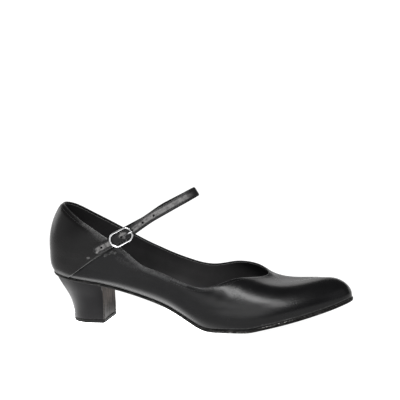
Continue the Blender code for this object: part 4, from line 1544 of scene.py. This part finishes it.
@dataclass
class Outsole(SubAssembly):
    """Thin leather sole and the insole that lies on it."""

    form: SoleForm
    stations: int = 150
    edge: tuple[EdgeRow, ...] = (
        EdgeRow(6.2, 0.0), EdgeRow(5.75, 0.0), EdgeRow(5.6, 0.12), EdgeRow(5.35, 0.12),
        EdgeRow(5.2, 0.0), EdgeRow(0.9, 0.0), EdgeRow(0.4, 0.06), EdgeRow(0.08, 0.22),
        EdgeRow(0.0, 0.4), EdgeRow(0.0, 0.75), EdgeRow(0.1, 0.92), EdgeRow(0.4, 1.0),
    )
    insole_edge: tuple[EdgeRow, ...] = (
        EdgeRow(0.0, 0.0), EdgeRow(0.0, 0.5), EdgeRow(0.15, 0.8), EdgeRow(0.5, 0.95),
        EdgeRow(1.2, 1.0),
    )
    tread_rub: float = 0.42
    tread_at: Pair = (168.0, 34.0)
    tread_height: Pair = (3.0, 0.2)
    rim_rub: float = 0.2
    rim_from: Pair = (172.0, 200.0)
    rim_height: Pair = (0.6, 0.95)
    insole_rub: float = 0.35
    insole_heel: Pair = (32.0, 20.0)
    insole_ball: Pair = (170.0, 26.0)
    insole_inset: float = 3.3
    insole_gap: float = 0.3
    insole_thickness: float = 2.0
    scuffs: tuple[Streak, ...] = (
        Streak((191.0, -39.8, 4.6), (204.0, -36.0, 7.4), 0.5, 1.0),
        Streak((204.0, -36.0, 7.4), (217.0, -31.0, 10.4), 0.5, 0.9),
        Streak((150.0, -41.8, 1.0), (176.0, -41.6, 1.0), 1.2, 0.25),
        Streak((236.0, -21.0, 13.0), (258.0, 2.0, 20.0), 1.3, 0.25),
        Streak((190.0, 41.0, 2.0), (226.0, 33.0, 10.0), 1.3, 0.45),
    )

    def _insole_bottom(self, x: Array) -> Array:
        """Height of the insole's underside at x."""
        return self.form.top(x) + self.insole_gap

    def _insole_layer(self, x: Array) -> Array:
        """Thickness of the insole at x, the same all over."""
        return np.full_like(x, self.insole_thickness)

    def _layer(self, edge: Sequence[EdgeRow], inset: float, bottom: Curve,
               thickness: Curve) -> tuple[Array, Faces]:
        """Flat layer under the foot.

        Args:
            edge: Loops of its edge, from underside to top.
            inset: How far it is drawn in from the sole's outline.
            bottom: Height of its underside as a function of x.
            thickness: Its thickness as a function of x.

        Returns:
            Its points and faces.
        """
        places = self.form.paired_places(self.stations)
        loops = []
        for row in edge:
            plan, _ = self.form.outline(places, inset + row.inset)
            x = plan[:, 0]
            loops.append(np.column_stack([plan, bottom(x) + row.height * thickness(x)]))
        return np.concatenate(loops), plate_faces(len(loops), len(places))

    def build(self) -> None:
        """Builds the sole and the insole."""
        points, faces = self._layer(self.edge, 0.0, self.form.bottom, self.form.thickness)
        x, z = points[:, 0], points[:, 2]
        tread = hump(x, *self.tread_at) * smooth_step(*self.tread_height, z)
        rim = np.array([smooth_step(*self.rim_height, row.height) for row in self.edge])
        rim = np.repeat(rim, len(points) // len(rim)) * smooth_step(*self.rim_from, x)
        wear_and_painted_light = np.maximum(self.tread_rub * tread, self.rim_rub * rim)
        for scuff in self.scuffs:
            wear_and_painted_light = np.maximum(wear_and_painted_light, scuff.over(points))
        self.add("sole", points, faces, [SOLE_EDGE_LEATHER], ["outsole"], wear_and_painted_light)
        points, faces = self._layer(self.insole_edge, self.insole_inset, self._insole_bottom,
                                    self._insole_layer)
        pressed = np.maximum(hump(points[:, 0], *self.insole_heel),
                             hump(points[:, 0], *self.insole_ball))
        self.add("sock", points, faces, [SOCK_LEATHER], ["insole"], self.insole_rub * pressed)


@dataclass
class Heel(SubAssembly):
    """Leather-covered heel block and the rubber lift under it."""

    form: SoleForm
    breast_x: float = 49.8
    roundness: float = 1.08
    lift_thickness: float = 3.0
    gap: float = 0.3
    rows: int = 34
    arc_points: int = 40
    side_points: int = 14
    breast_points: int = 14
    corner_passes: int = 2
    breast_hollow: float = 0.4
    hollow_half: float = 18.0
    pleated_half: float = 17.0
    # Painted shade on the breast, darker towards its foot; the edge value darkens its two side
    # edges.
    breast_painted_shade: float = 0.8
    breast_painted_shade_rise: Pair = (30.0, 5.0)
    breast_edge_shade: float = 0.9
    breast_edge_from: Pair = (16.6, 17.6)
    pleat_depth: float = 0.5
    pleat_width: float = 0.55
    pleats: tuple[float, ...] = (-16.2, -11.6, -7.2, -2.6, 2.2, 6.8, 11.4, 16.2)
    foot_scuff: float = 0.14
    foot_scuff_rise: Pair = (8.0, 3.4)
    lift_scuff: float = 0.1
    lift_scuff_rise: Pair = (1.0, 0.1)
    lift_edge: tuple[LiftRow, ...] = (
        LiftRow(0.0, 0.5), LiftRow(0.12, 0.22), LiftRow(0.4, 0.05), LiftRow(0.8, 0.0),
        LiftRow(2.7, 0.0), LiftRow(2.95, 0.12),
    )

    def _loop(self, height: float, inset: float = 0.0) -> Array:
        """Plan of the heel at a height of its back line: round back, straight breast.

        Args:
            height: Height on the back line.
            inset: How far the loop is drawn in.

        Returns:
            Points from the back along the lateral side, in lateral and medial pairs.
        """
        heights = [row.height for row in HEEL_LEVELS]
        back, half, breast_half = (
            float(cubic_curve(heights, [getattr(row, column) for row in HEEL_LEVELS])(height))
            for column in ("back_x", "half_width", "breast_half"))
        back, half, breast_half = back + inset, half - inset, breast_half - inset
        breast = self.breast_x - inset
        middle = back + self.roundness * half
        turn = np.linspace(0.0, 0.5 * math.pi, self.arc_points + 1)
        arc = np.column_stack([middle - (middle - back) * np.cos(turn), half * np.sin(turn)])
        share = np.linspace(0.0, 1.0, self.side_points + 1)[1:]
        side = np.column_stack([middle + (breast - middle) * share,
                                half + (breast_half - half) * share ** 2])
        across = breast_half * np.linspace(1.0, 0.0, self.breast_points + 1)[1:]
        front = np.column_stack([np.full_like(across, breast), across])
        outline = np.concatenate([arc, side, front])
        loop = np.concatenate([outline * (1.0, -1.0), outline[-2:0:-1]])
        for _ in range(self.corner_passes):
            loop = 0.25 * np.roll(loop, 1, axis=0) + 0.5 * loop + 0.25 * np.roll(loop, -1, axis=0)
        return loop

    def build(self) -> None:
        """Builds the covered block, with its pleated breast, and the lift."""
        base = self.lift_thickness + self.gap
        full = HEEL_LEVELS[-1].height
        count = 2 * (self.arc_points + self.side_points + self.breast_points)
        first = self.arc_points + self.side_points
        on_breast = np.zeros(count, bool)
        on_breast[first:first + 2 * self.breast_points + 1] = True
        loops = []
        for share in np.linspace(0.0, 1.0, self.rows):
            plan = self._loop(base + share * (full - base))
            hollow = self.breast_hollow * (1.0 - (plan[:, 1] / self.hollow_half) ** 2)
            depth = self.pleat_depth * math.sin(math.pi * share) ** 0.5
            for pleat in self.pleats:
                hollow += depth * hump(plan[:, 1], pleat, self.pleat_width)
            inner = on_breast & (np.abs(plan[:, 1]) < self.pleated_half)
            plan[inner, 0] -= np.maximum(hollow, 0.0)[inner]
            seat = self.form.bottom(plan[:, 0]) - self.gap
            loops.append(np.column_stack([plan, base + share * (seat - base)]))
        points = np.concatenate(loops)
        faces = plate_faces(self.rows, count)
        breast = np.tile(on_breast & np.roll(on_breast, -1), self.rows - 1)
        face_finish = np.zeros(len(faces), int)
        face_finish[:len(breast)] = breast
        scuffs_and_painted_shade = self.foot_scuff * smooth_step(*self.foot_scuff_rise, points[:, 2])
        # On the breast the mask is painted shade, darker towards the foot, with a dark line at
        # each side edge; elsewhere it is scuffing low on the block.
        shaded = np.maximum(
            self.breast_painted_shade * smooth_step(*self.breast_painted_shade_rise, points[:, 2]),
            self.breast_edge_shade * smooth_step(*self.breast_edge_from, np.abs(points[:, 1])))
        scuffs_and_painted_shade = np.where(np.tile(on_breast, self.rows), shaded, scuffs_and_painted_shade)
        self.add("heel_block", points, faces, [HEEL_LEATHER, BREAST_LEATHER], ["heel"], scuffs_and_painted_shade,
                 face_finish)
        points = np.concatenate([
            np.column_stack([self._loop(row.height, row.inset), np.full(count, row.height)])
            for row in self.lift_edge])
        self.add("heel_lift", points, plate_faces(len(self.lift_edge), count), [LIFT_RUBBER],
                 ["top_piece"],
                 self.lift_scuff * smooth_step(*self.lift_scuff_rise, points[:, 2]))


@dataclass
class StrapPlane:
    """Plane of the instep strap, which rises to the front; n is measured across the strap."""

    origin: Triple = (60.0, 0.0, 71.0)
    rise_degrees: float = 28.1
    front_lift: float = 2.5
    lift_from: float = 15.0
    lift_to: float = 46.0

    def raised(self, along: Array) -> Array:
        """How far the strap is drawn up out of its straight line, at places along it."""
        return self.front_lift * smooth_step(self.lift_from, self.lift_to, along)

    def design(self, along: Array, y: Array, n: Array) -> Array:
        """Design points from places along, beside and across the strap's plane.

        Args:
            along: Places along the plane's rise.
            y: Places to the side.
            n: Places across the strap.

        Returns:
            The points.
        """
        rise = math.radians(self.rise_degrees)
        ahead = np.array((math.cos(rise), 0.0, math.sin(rise)))
        across = np.array((-math.sin(rise), 0.0, math.cos(rise)))
        side = np.array((0.0, 1.0, 0.0))
        return (np.array(self.origin) + np.asarray(along)[..., None] * ahead
                + np.asarray(y)[..., None] * side + np.asarray(n)[..., None] * across)

    def band(self, route: Array, normals: Array, half_width: Array, profile: Array,
             twist: Array) -> Array:
        """Closed loops of a flat band along a route.

        Args:
            route: Middle line, as (along, y) points.
            normals: Unit normals of the route to the band's outer face.
            half_width: Half of the band's width at each point.
            profile: Loop of the band's section, as (share of the half width, distance out) points.
            twist: Angle in radians by which the upper edge leans in, at each point.

        Returns:
            One loop of design points for each point of the route.
        """
        across = half_width[:, None] * profile[None, :, 0]
        lean, hold = np.sin(twist)[:, None], np.cos(twist)[:, None]
        out = profile[None, :, 1] * hold - across * lean
        place = route[:, None] + out[..., None] * normals[:, None]
        n = across * hold + profile[None, :, 1] * lean + self.raised(route[:, :1])
        return self.design(place[..., 0], place[..., 1], n)


def cut_through(piece: Object, points: Array, faces: Faces) -> None:
    """Cuts a shape out of a piece for good.

    Args:
        piece: The piece.
        points: Points of the cutting shape, in design millimetres.
        faces: Its faces.
    """
    cutter = place_object("cutter", closed_mesh("cutter", points, faces))
    modifier = piece.modifiers.new("Holes", "BOOLEAN")
    modifier.operation = "DIFFERENCE"
    modifier.object = cutter
    bpy.context.view_layer.update()
    seen = piece.evaluated_get(bpy.context.evaluated_depsgraph_get())
    cut = bpy.data.meshes.new_from_object(seen)
    cut.set_sharp_from_angle(angle=math.radians(SHARP_DEGREES))
    piece.modifiers.clear()
    piece.data = cut
    bpy.data.objects.remove(cutter)


class LighterSpot(NamedTuple):
    """Lighter spot on the strap: its place along and across it, its half sizes and its strength.
    """

    along: float
    n: float
    length: float
    width: float
    strength: float


@dataclass
class InstepStrap(SubAssembly):
    """Strap over the instep, with its row of holes and its stitched edges."""

    plane: StrapPlane
    width: float = 8.0
    thickness: float = 1.8
    crown: float = 0.12
    edge_round: float = 0.42
    edge_power: int = 7
    face_points: int = 41
    groove_at: float = 0.74
    groove_depth: float = 0.14
    groove_width: float = 0.07
    back_points: int = 9
    back_share: float = 0.95
    side_share: float = 1.02
    side_levels: Pair = (0.1, -0.45)
    stations: int = 300
    tip_length: float = 4.5
    tip_blunt: float = 0.03
    twist_degrees: float = 17.0
    twist_from: Pair = (22.0, 50.0)
    untwist: float = 0.8
    untwist_from: Pair = (66.0, 77.0)
    stitch_lift: float = 0.02
    sewing: Sewing = Sewing(2.1, 1.65, 0.17)
    # Lighter middle of the strap's face: partly abrasion, partly a painted sheen; more on the
    # lateral run and the tail.
    lightening: float = 0.10
    lateral_lightening: float = 0.50
    tail_lightening: float = 0.08
    lightening_across: Pair = (0.35, 0.68)
    face_level: float = 0.5
    lateral_from: Pair = (-3.0, -9.0)
    buckle_from: Pair = (3.0, 5.0)
    buckle_to: Pair = (26.0, 23.0)
    tail_from: Pair = (4.0, 2.0)
    # Lighter spots: a star round the prong's hole, spots along the run ahead of the buckle and one
    # near the tail's end.
    lighter_spots: tuple[LighterSpot, ...] = (
        LighterSpot(16.0, 0.9, 3.0, 1.3, 1.9), LighterSpot(16.0, 0.9, 1.4, 3.0, 1.9),
        LighterSpot(28.0, -0.6, 1.6, 1.0, 1.3), LighterSpot(33.0, 0.5, 1.7, 1.0, 1.4),
        LighterSpot(37.5, -0.7, 1.4, 0.8, 1.2), LighterSpot(43.5, -0.4, 1.5, 0.9, 1.1),
        LighterSpot(-12.0, -1.8, 0.8, 0.8, 1.6),
    )
    clean_tip: Pair = (0.8, 3.6)
    hole_along: float = 14.5
    hole_pitch: float = 10.2
    holes: range = range(-2, 4)
    hole_radius: float = 0.9
    hole_sides: int = 24
    holes_beyond_y: float = -15.0

    def _route(self) -> tuple[Array, Array, Array]:
        """Middle line of the strap, as (along, y) points.

        Returns:
            The points, their outward normals and their places along the line.
        """
        path = np.array(STRAP_PATH)
        knots = chord_lengths(path)
        places = np.linspace(0.0, knots[-1], self.stations)
        route = np.stack([cubic_curve(knots, column)(places) for column in path.T], axis=1)
        tangent = unit(np.gradient(route, axis=0))
        return route, np.column_stack([-tangent[:, 1], tangent[:, 0]]), places

    def _profile(self) -> Array:
        """Section of the strap: crowned face, grooves for the sewing and rounded edges.

        Returns:
            Its loop, as (share of the half width, distance out) points.
        """
        half = 0.5 * self.thickness
        share = np.linspace(-1.0, 1.0, self.face_points)
        face = half - self.edge_round * np.abs(share) ** self.edge_power
        face += self.crown * (1.0 - share ** 2)
        face -= self.groove_depth * hump(np.abs(share), self.groove_at, self.groove_width)
        back = np.linspace(self.back_share, -self.back_share, self.back_points)
        side = [(self.side_share, level) for level in self.side_levels]
        return np.concatenate([
            np.column_stack([share, face]), side,
            np.column_stack([back, np.full_like(back, -half)]),
            [(-out, level) for out, level in reversed(side)],
        ])

    def build(self) -> None:
        """Builds the strap, punches its holes and sews its edges."""
        route, normals, places = self._route()
        to_tip = np.clip((places[-1] - places) / self.tip_length, 0.0, 1.0)
        tip = np.sqrt(np.maximum(1.0 - (1.0 - to_tip) ** 2, self.tip_blunt))
        half_width = 0.5 * self.width * tip
        profile = self._profile()
        twist = math.radians(self.twist_degrees) * smooth_step(*self.twist_from, route[:, 0])
        twist *= 1.0 - self.untwist * smooth_step(*self.untwist_from, route[:, 0])
        loops = self.plane.band(route, normals, half_width, profile, twist)
        strap = self.add("instep_strap", loops.reshape(-1, 3),
                         capped_faces(self.stations, len(profile)), [STRAP_LEATHER], ["strap"],
                         self._wear_and_painted_light(route, half_width, profile))
        self._punch(strap, route, normals)
        for side, label in ((-1.0, "lower"), (1.0, "upper")):
            level = 0.5 * self.thickness + self.stitch_lift
            rows = np.array([(side * self.groove_at, level + rise) for rise in (0.0, 1.0)])
            line = self.plane.band(route, normals, half_width, rows, twist)
            self.stitches(f"strap_stitches_{label}", line[:, 0], unit(line[:, 1] - line[:, 0]),
                          BLACK_THREAD, self.sewing)

    def _wear_and_painted_light(self, route: Array, half_width: Array, profile: Array) -> Array:
        """Share of abrasion and painted light over the strap: its lighter middle, partly a painted
        sheen, its tail and round the prong.

        Args:
            route: Middle line, as (along, y) points.
            half_width: Half of the strap's width at each point.
            profile: Loop of the strap's section.

        Returns:
            The abrasion and painted light at each point of each loop.
        """
        along, y = route.T
        on_face = profile[:, 1] > self.face_level
        middle = 1.0 - smooth_step(*self.lightening_across, np.abs(profile[:, 0]))
        lateral = smooth_step(*self.lateral_from, y)
        in_buckle = smooth_step(*self.buckle_from, along) * smooth_step(*self.buckle_to, along)
        tail = smooth_step(*self.tail_from, along) * lateral
        # Lighter middle: partly abrasion, partly a painted sheen.
        lightened = self.lightening + self.lateral_lightening * lateral
        lightened = lightened * (1.0 - in_buckle * lateral) * (1.0 + self.tail_lightening * tail)
        lightened *= smooth_step(*self.clean_tip, along - along[-1])
        wear_and_painted_light = lightened[:, None] * (on_face * middle)[None, :]
        across = half_width[:, None] * profile[None, :, 0]
        for spot in self.lighter_spots:
            away = np.hypot((along - spot.along)[:, None] / spot.length,
                            (across - spot.n) / spot.width)
            lightening = spot.strength * hump(away, 0.0, 1.0) * on_face
            wear_and_painted_light = np.maximum(wear_and_painted_light, lightening * (y < 0.0)[:, None])
        return wear_and_painted_light

    def _punch(self, strap: Object, route: Array, normals: Array) -> None:
        """Cuts the row of round holes on the lateral run of the strap.

        Args:
            strap: The strap.
            route: Its middle line, as (along, y) points.
            normals: Its outward normals.
        """
        lateral = np.flatnonzero(route[:, 1] < self.holes_beyond_y)
        turn = np.linspace(0.0, 2.0 * math.pi, self.hole_sides, endpoint=False)
        rings = []
        faces = []
        for number in self.holes:
            along = self.hole_along + self.hole_pitch * number
            near = lateral[np.argmin(np.abs(route[lateral, 0] - along))]
            out = normals[near]
            beside = np.array((-out[1], out[0]))
            around = self.hole_radius * np.cos(turn)[:, None] * beside
            n = self.hole_radius * np.sin(turn) + self.plane.raised(route[near, 0])
            faces += capped_faces(2, self.hole_sides, len(rings) * self.hole_sides)
            for depth in (-self.thickness, self.thickness):
                ring = route[near] + depth * out + around
                rings.append(self.plane.design(ring[:, 0], ring[:, 1], n))
        cut_through(strap, np.concatenate(rings), faces)


@dataclass
class Buckle(SubAssembly):
    """Wire buckle on its leather tab, with the prong through the strap."""

    plane: StrapPlane
    along: float = 14.5
    y: float = -31.0
    length: float = 22.2
    width: float = 13.2
    corner: float = 5.3
    frame_wire: float = 0.85
    frame_shown: float = 0.78
    bar_wire: float = 0.7
    prong_wire: float = 0.5
    strap_half: float = 0.9
    gap: float = 0.3
    tab_layer: float = 1.2
    tab_width: float = 8.0
    tab_start: float = -3.0
    tab_slot: float = 2.0
    tab_points: int = 24
    tab_face_points: int = 13
    tab_edge: float = 0.3
    tab_edge_power: int = 6
    eye_turn: Pair = (-0.5, 1.12)
    eye_points: int = 40
    slot_reach: float = 3.4
    slot_ahead: float = 0.5
    bar_bend: float = 0.8
    bend_share: float = 0.3
    prong_hook: range = range(-30, -251, -20)
    prong_clear: float = 1.2
    prong_arch: float = 0.15
    prong_tip: float = 1.2
    prong_taper: float = 0.75
    prong_taper_length: float = 1.0
    prong_bright: Pair = (4.5, 2.5)
    prong_points: int = 90
    corner_points: int = 14
    sides: int = 18
    # Side of the frame where a painted glint is brightest.
    glint_degrees: float = 205.0

    def _levels(self) -> Pair:
        """How far the bar and the frame lie outside the strap's middle."""
        bar = -(self.strap_half + self.gap + self.tab_layer + self.gap + self.bar_wire)
        return bar, self.strap_half + self.gap + self.frame_wire

    def build(self) -> None:
        """Builds the frame with its bar, the prong and the tab."""
        self._frame()
        self._prong()
        self._tab()

    def _frame(self) -> None:
        """Builds the rounded frame and its lower centre bar."""
        bar_out, frame_out = self._levels()
        half_length = 0.5 * self.length - self.frame_wire
        half_width = 0.5 * self.width - self.frame_wire
        ring = []
        for quarter, (end, side) in enumerate(((1, 1), (-1, 1), (-1, -1), (1, -1))):
            turn = 0.5 * math.pi * (quarter + np.linspace(0.0, 1.0, self.corner_points))
            ring.append(np.column_stack([
                end * (half_length - self.corner) + self.corner * np.cos(turn),
                side * (half_width - self.corner) + self.corner * np.sin(turn)]))
        loop = np.concatenate(ring)
        path = self.plane.design(self.along + loop[:, 0], np.full(len(loop), self.y - frame_out),
                                 loop[:, 1])
        points = tube_points(path, np.full(len(path), self.frame_shown), self.sides, True)
        faces = loft_faces(len(path), self.sides, True)
        eased = self.bend_share * self.bar_bend
        legs = [(frame_out, half_width), (bar_out + self.bar_bend, half_width),
                (bar_out + eased, half_width - eased), (bar_out, half_width - self.bar_bend)]
        legs += [(out, -n) for out, n in reversed(legs)]
        leg = np.array(legs)
        path = self.plane.design(np.full(len(leg), self.along), self.y - leg[:, 0], leg[:, 1])
        bar = tube_points(path, np.full(len(path), self.bar_wire), self.sides, False)
        faces += capped_faces(len(path), self.sides, len(points))
        # Painted glint: the frame's wire is lightest on one side and fades round the loop.
        turn = np.arctan2(loop[:, 1] / half_width, loop[:, 0] / half_length)
        painted_glint = 0.5 + 0.5 * np.cos(turn - math.radians(self.glint_degrees))
        bright = np.concatenate([np.repeat(painted_glint, self.sides), np.zeros(len(bar))])
        self.add("buckle_wire", np.concatenate([points, bar]), faces, [BUCKLE_METAL],
                 ["buckle_frame"], bright)

    def _prong(self) -> None:
        """Builds the prong: hooked round the bar, up through the strap and onto the frame."""
        bar_out, frame_out = self._levels()
        hook = self.bar_wire + self.gap + self.prong_wire
        path = [(hook * math.cos(turn), bar_out + hook * math.sin(turn))
                for turn in np.radians(self.prong_hook)]
        over_strap = self.strap_half + self.gap + self.prong_wire
        over_frame = frame_out + self.frame_wire + self.gap + self.prong_wire
        end = 0.5 * self.length - self.frame_wire
        path += [(self.prong_clear, over_strap),
                 (0.5 * end, 0.5 * (over_strap + over_frame) + self.prong_arch),
                 (end, over_frame), (end + self.prong_tip, over_frame)]
        knots = chord_lengths(np.array(path))
        tip = knots[-1]
        places = np.linspace(0.0, tip, self.prong_points)
        along, out = (cubic_curve(knots, column)(places) for column in np.array(path).T)
        middle = self.plane.design(self.along + along, self.y - out, np.zeros(len(places)))
        taper = self.prong_taper * smooth_step(tip - self.prong_taper_length, tip, places)
        points = tube_points(middle, self.prong_wire * (1.0 - taper), self.sides, False)
        from_tip, to_tip = self.prong_bright
        bright = smooth_step(tip - from_tip, tip - to_tip, places)
        self.add("buckle_tongue", points, capped_faces(len(places), self.sides), [PRONG_METAL],
                 ["buckle_prong"], np.repeat(bright, self.sides))

    def _tab(self) -> None:
        """Builds the tab: a strip under the strap that ends in an eye round the bar."""
        bar_out, _ = self._levels()
        eye_y = self.y - bar_out
        radius = self.bar_wire + self.gap + 0.5 * self.tab_layer
        turn = np.linspace(*(math.pi * end for end in self.eye_turn), self.eye_points)
        straight = np.linspace(self.tab_start, self.along, self.tab_points)[:-1]
        route = np.concatenate([
            np.column_stack([straight, np.full_like(straight, eye_y - radius)]),
            np.column_stack([self.along + radius * np.cos(turn), eye_y + radius * np.sin(turn)])])
        tangent = unit(np.gradient(route, axis=0))
        normals = np.column_stack([tangent[:, 1], -tangent[:, 0]])
        half = 0.5 * self.tab_layer
        face = np.linspace(-1.0, 1.0, self.tab_face_points)
        level = half - self.tab_edge * np.abs(face) ** self.tab_edge_power
        profile = np.concatenate([np.column_stack([face, level]),
                                  np.column_stack([face[::-1], -level])])
        half_width = np.full(len(route), 0.5 * self.tab_width)
        loops = self.plane.band(route, normals, half_width, profile, np.zeros(len(route)))
        tab = self.add("strap_tab", loops.reshape(-1, 3), capped_faces(len(route), len(profile)),
                       [STRAP_LEATHER], ["buckle_tab"])
        reach = (-self.slot_reach, self.slot_reach)
        corners = np.array([(along, y, n) for along in reach for y in reach
                            for n in (-0.5 * self.tab_slot, 0.5 * self.tab_slot)])
        slot = self.plane.design(self.along + self.slot_ahead + corners[:, 0],
                                 eye_y + corners[:, 1], corners[:, 2])
        cut_through(tab, slot, BOX_FACES)


@dataclass(frozen=True)
class SoftLight:
    """Soft studio light that faces the shoe."""

    name: str
    azimuth: float
    elevation: float
    distance: float
    size: Pair
    watts: float
    roll: float = 0.0
    tint: Triple = (1.0, 1.0, 1.0)


def direction(azimuth: float, elevation: float) -> Vector:
    """Unit vector from the shoe to an azimuth and elevation in degrees; azimuth 0 is lateral."""
    turn, tilt = math.radians(azimuth), math.radians(elevation)
    return Vector((math.sin(turn) * math.cos(tilt), -math.cos(turn) * math.cos(tilt),
                   math.sin(tilt)))


@dataclass
class Studio:
    """Pale floor, soft lights and the camera at the photograph's angle."""

    floor_size: float = 14.0
    floor_colour: Triple = (0.12, 0.12, 0.12)
    floor_roughness: float = 0.9
    floor_glow: float = 0.99
    table_glow: float = 6.2
    table_centre: Triple = (-0.079, -0.012, 0.0)
    table_reach: Pair = (0.088, 0.044)
    table_fade: Pair = (0.5, 1.6)
    room_light: float = 0.10
    lights: tuple[SoftLight, ...] = (
        SoftLight("front_softbox", 2.0, 51.5, 1.6, (0.29, 1.29), 31.0, 38.0),
        SoftLight("side_fill", -6.0, 19.0, 2.4, (1.7, 0.75), 12.0),
        SoftLight("low_fill", -20.0, 7.0, 4.6, (5.4, 1.1), 18.5),
        SoftLight("heel_fill", -74.0, 13.0, 3.2, (2.6, 1.5), 8.5),
        SoftLight("back_softbox", 198.0, 26.0, 2.2, (2.2, 0.66), 5.9, 0.0, (1.0, 0.985, 0.98)),
        SoftLight("back_panel", 208.0, 9.0, 3.0, (2.8, 0.9), 5.0),
        SoftLight("medial_fill", 157.0, 8.0, 3.0, (2.7, 0.9), 12.0),
        SoftLight("medial_heel_fill", 248.0, 12.0, 3.0, (1.8, 1.2), 16.0),
        SoftLight("toe_fill", 78.0, 24.0, 3.0, (2.4, 2.2), 6.6),
    )
    azimuth: float = 17.0
    elevation: float = 11.5
    roll: float = -2.4
    distance: float = 4.0
    field: float = 0.3333
    sensor: float = 36.0
    clip_end: float = 100.0
    target: Triple = (132.6, 0.0, 103.7)

    def build(self) -> None:
        """Sets the floor, the lights, the room and the camera."""
        self._floor()
        for light in self.lights:
            self._light(light)
        world = bpy.data.worlds.new("room")
        world.use_nodes = True
        room = world.node_tree.nodes["Background"]
        room.inputs["Color"].default_value = WHITE
        room.inputs["Strength"].default_value = self.room_light
        bpy.context.scene.world = world
        bpy.context.scene.view_settings.view_transform = "Standard"
        self._camera()

    def _floor(self) -> None:
        """Lays the floor."""
        half = 0.5 * self.floor_size
        mesh = bpy.data.meshes.new("floor")
        mesh.from_pydata([(-half, -half, 0.0), (half, -half, 0.0), (half, half, 0.0),
                          (-half, half, 0.0)], [], [(0, 1, 2, 3)])
        mesh.materials.append(self._lit_table())
        place_object("floor", mesh)

    def _lit_table(self) -> Material:
        """White floor that is lit through from below, most of all under the shoe.

        Returns:
            The floor's material.
        """
        material, graph, shader = start_material("pale_floor")
        reach = (1.0 / self.table_reach[0], 1.0 / self.table_reach[1], 0.0)
        offset = graph.vector("SUBTRACT", graph.object_place(), self.table_centre)
        spread = graph.vector("MULTIPLY", offset, reach)
        away = graph.add("VectorMath", {0: spread}, operation="LENGTH").outputs["Value"]
        graph.feed(shader, {
            "Base Color": (*self.floor_colour, 1.0),
            "Roughness": self.floor_roughness,
            "Emission Color": WHITE,
            "Emission Strength": graph.ramp(away, *self.table_fade,
                                            self.floor_glow + self.table_glow, self.floor_glow),
        })
        return material

    def _facing(self, azimuth: float, elevation: float, distance: float, roll: float) -> Matrix:
        """Place and turn of a light or camera that faces the shoe.

        Args:
            azimuth: Its azimuth in degrees.
            elevation: Its elevation in degrees.
            distance: Its distance in metres.
            roll: Its roll in degrees.

        Returns:
            The matrix.
        """
        back = direction(azimuth, elevation)
        aim = Vector(MM * np.array(self.target) + DESIGN_ORIGIN)
        return (Matrix.Translation(aim + distance * back)
                @ back.to_track_quat("Z", "Y").to_matrix().to_4x4()
                @ Matrix.Rotation(math.radians(roll), 4, "Z"))

    def _light(self, light: SoftLight) -> None:
        """Hangs one soft light.

        Args:
            light: The light.
        """
        data = bpy.data.lights.new(light.name, "AREA")
        data.shape = "RECTANGLE"
        data.size, data.size_y = light.size
        data.energy = light.watts
        data.color = light.tint
        lamp = place_object(light.name, data)
        lamp.matrix_world = self._facing(light.azimuth, light.elevation, light.distance,
                                         light.roll)

    def _camera(self) -> None:
        """Places the camera."""
        data = bpy.data.cameras.new("camera")
        data.sensor_width = self.sensor
        data.lens = self.sensor * self.distance / self.field
        data.clip_end = self.clip_end
        camera = place_object("camera", data)
        camera.matrix_world = self._facing(self.azimuth, self.elevation, self.distance, self.roll)
        bpy.context.scene.camera = camera


def main() -> None:
    """Builds and dresses the shoe, then its studio."""
    logging.basicConfig(level=logging.INFO, format="%(name)s: %(message)s")
    shop = Workshop()
    sole = SoleForm()
    plane = StrapPlane()
    for assembly in (Outsole(shop, sole), Heel(shop, sole), Upper(shop, UpperForm(sole)),
                     InstepStrap(shop, plane), Buckle(shop, plane)):
        assembly.build()
    Studio().build()


if __name__ == "__main__":
    main()
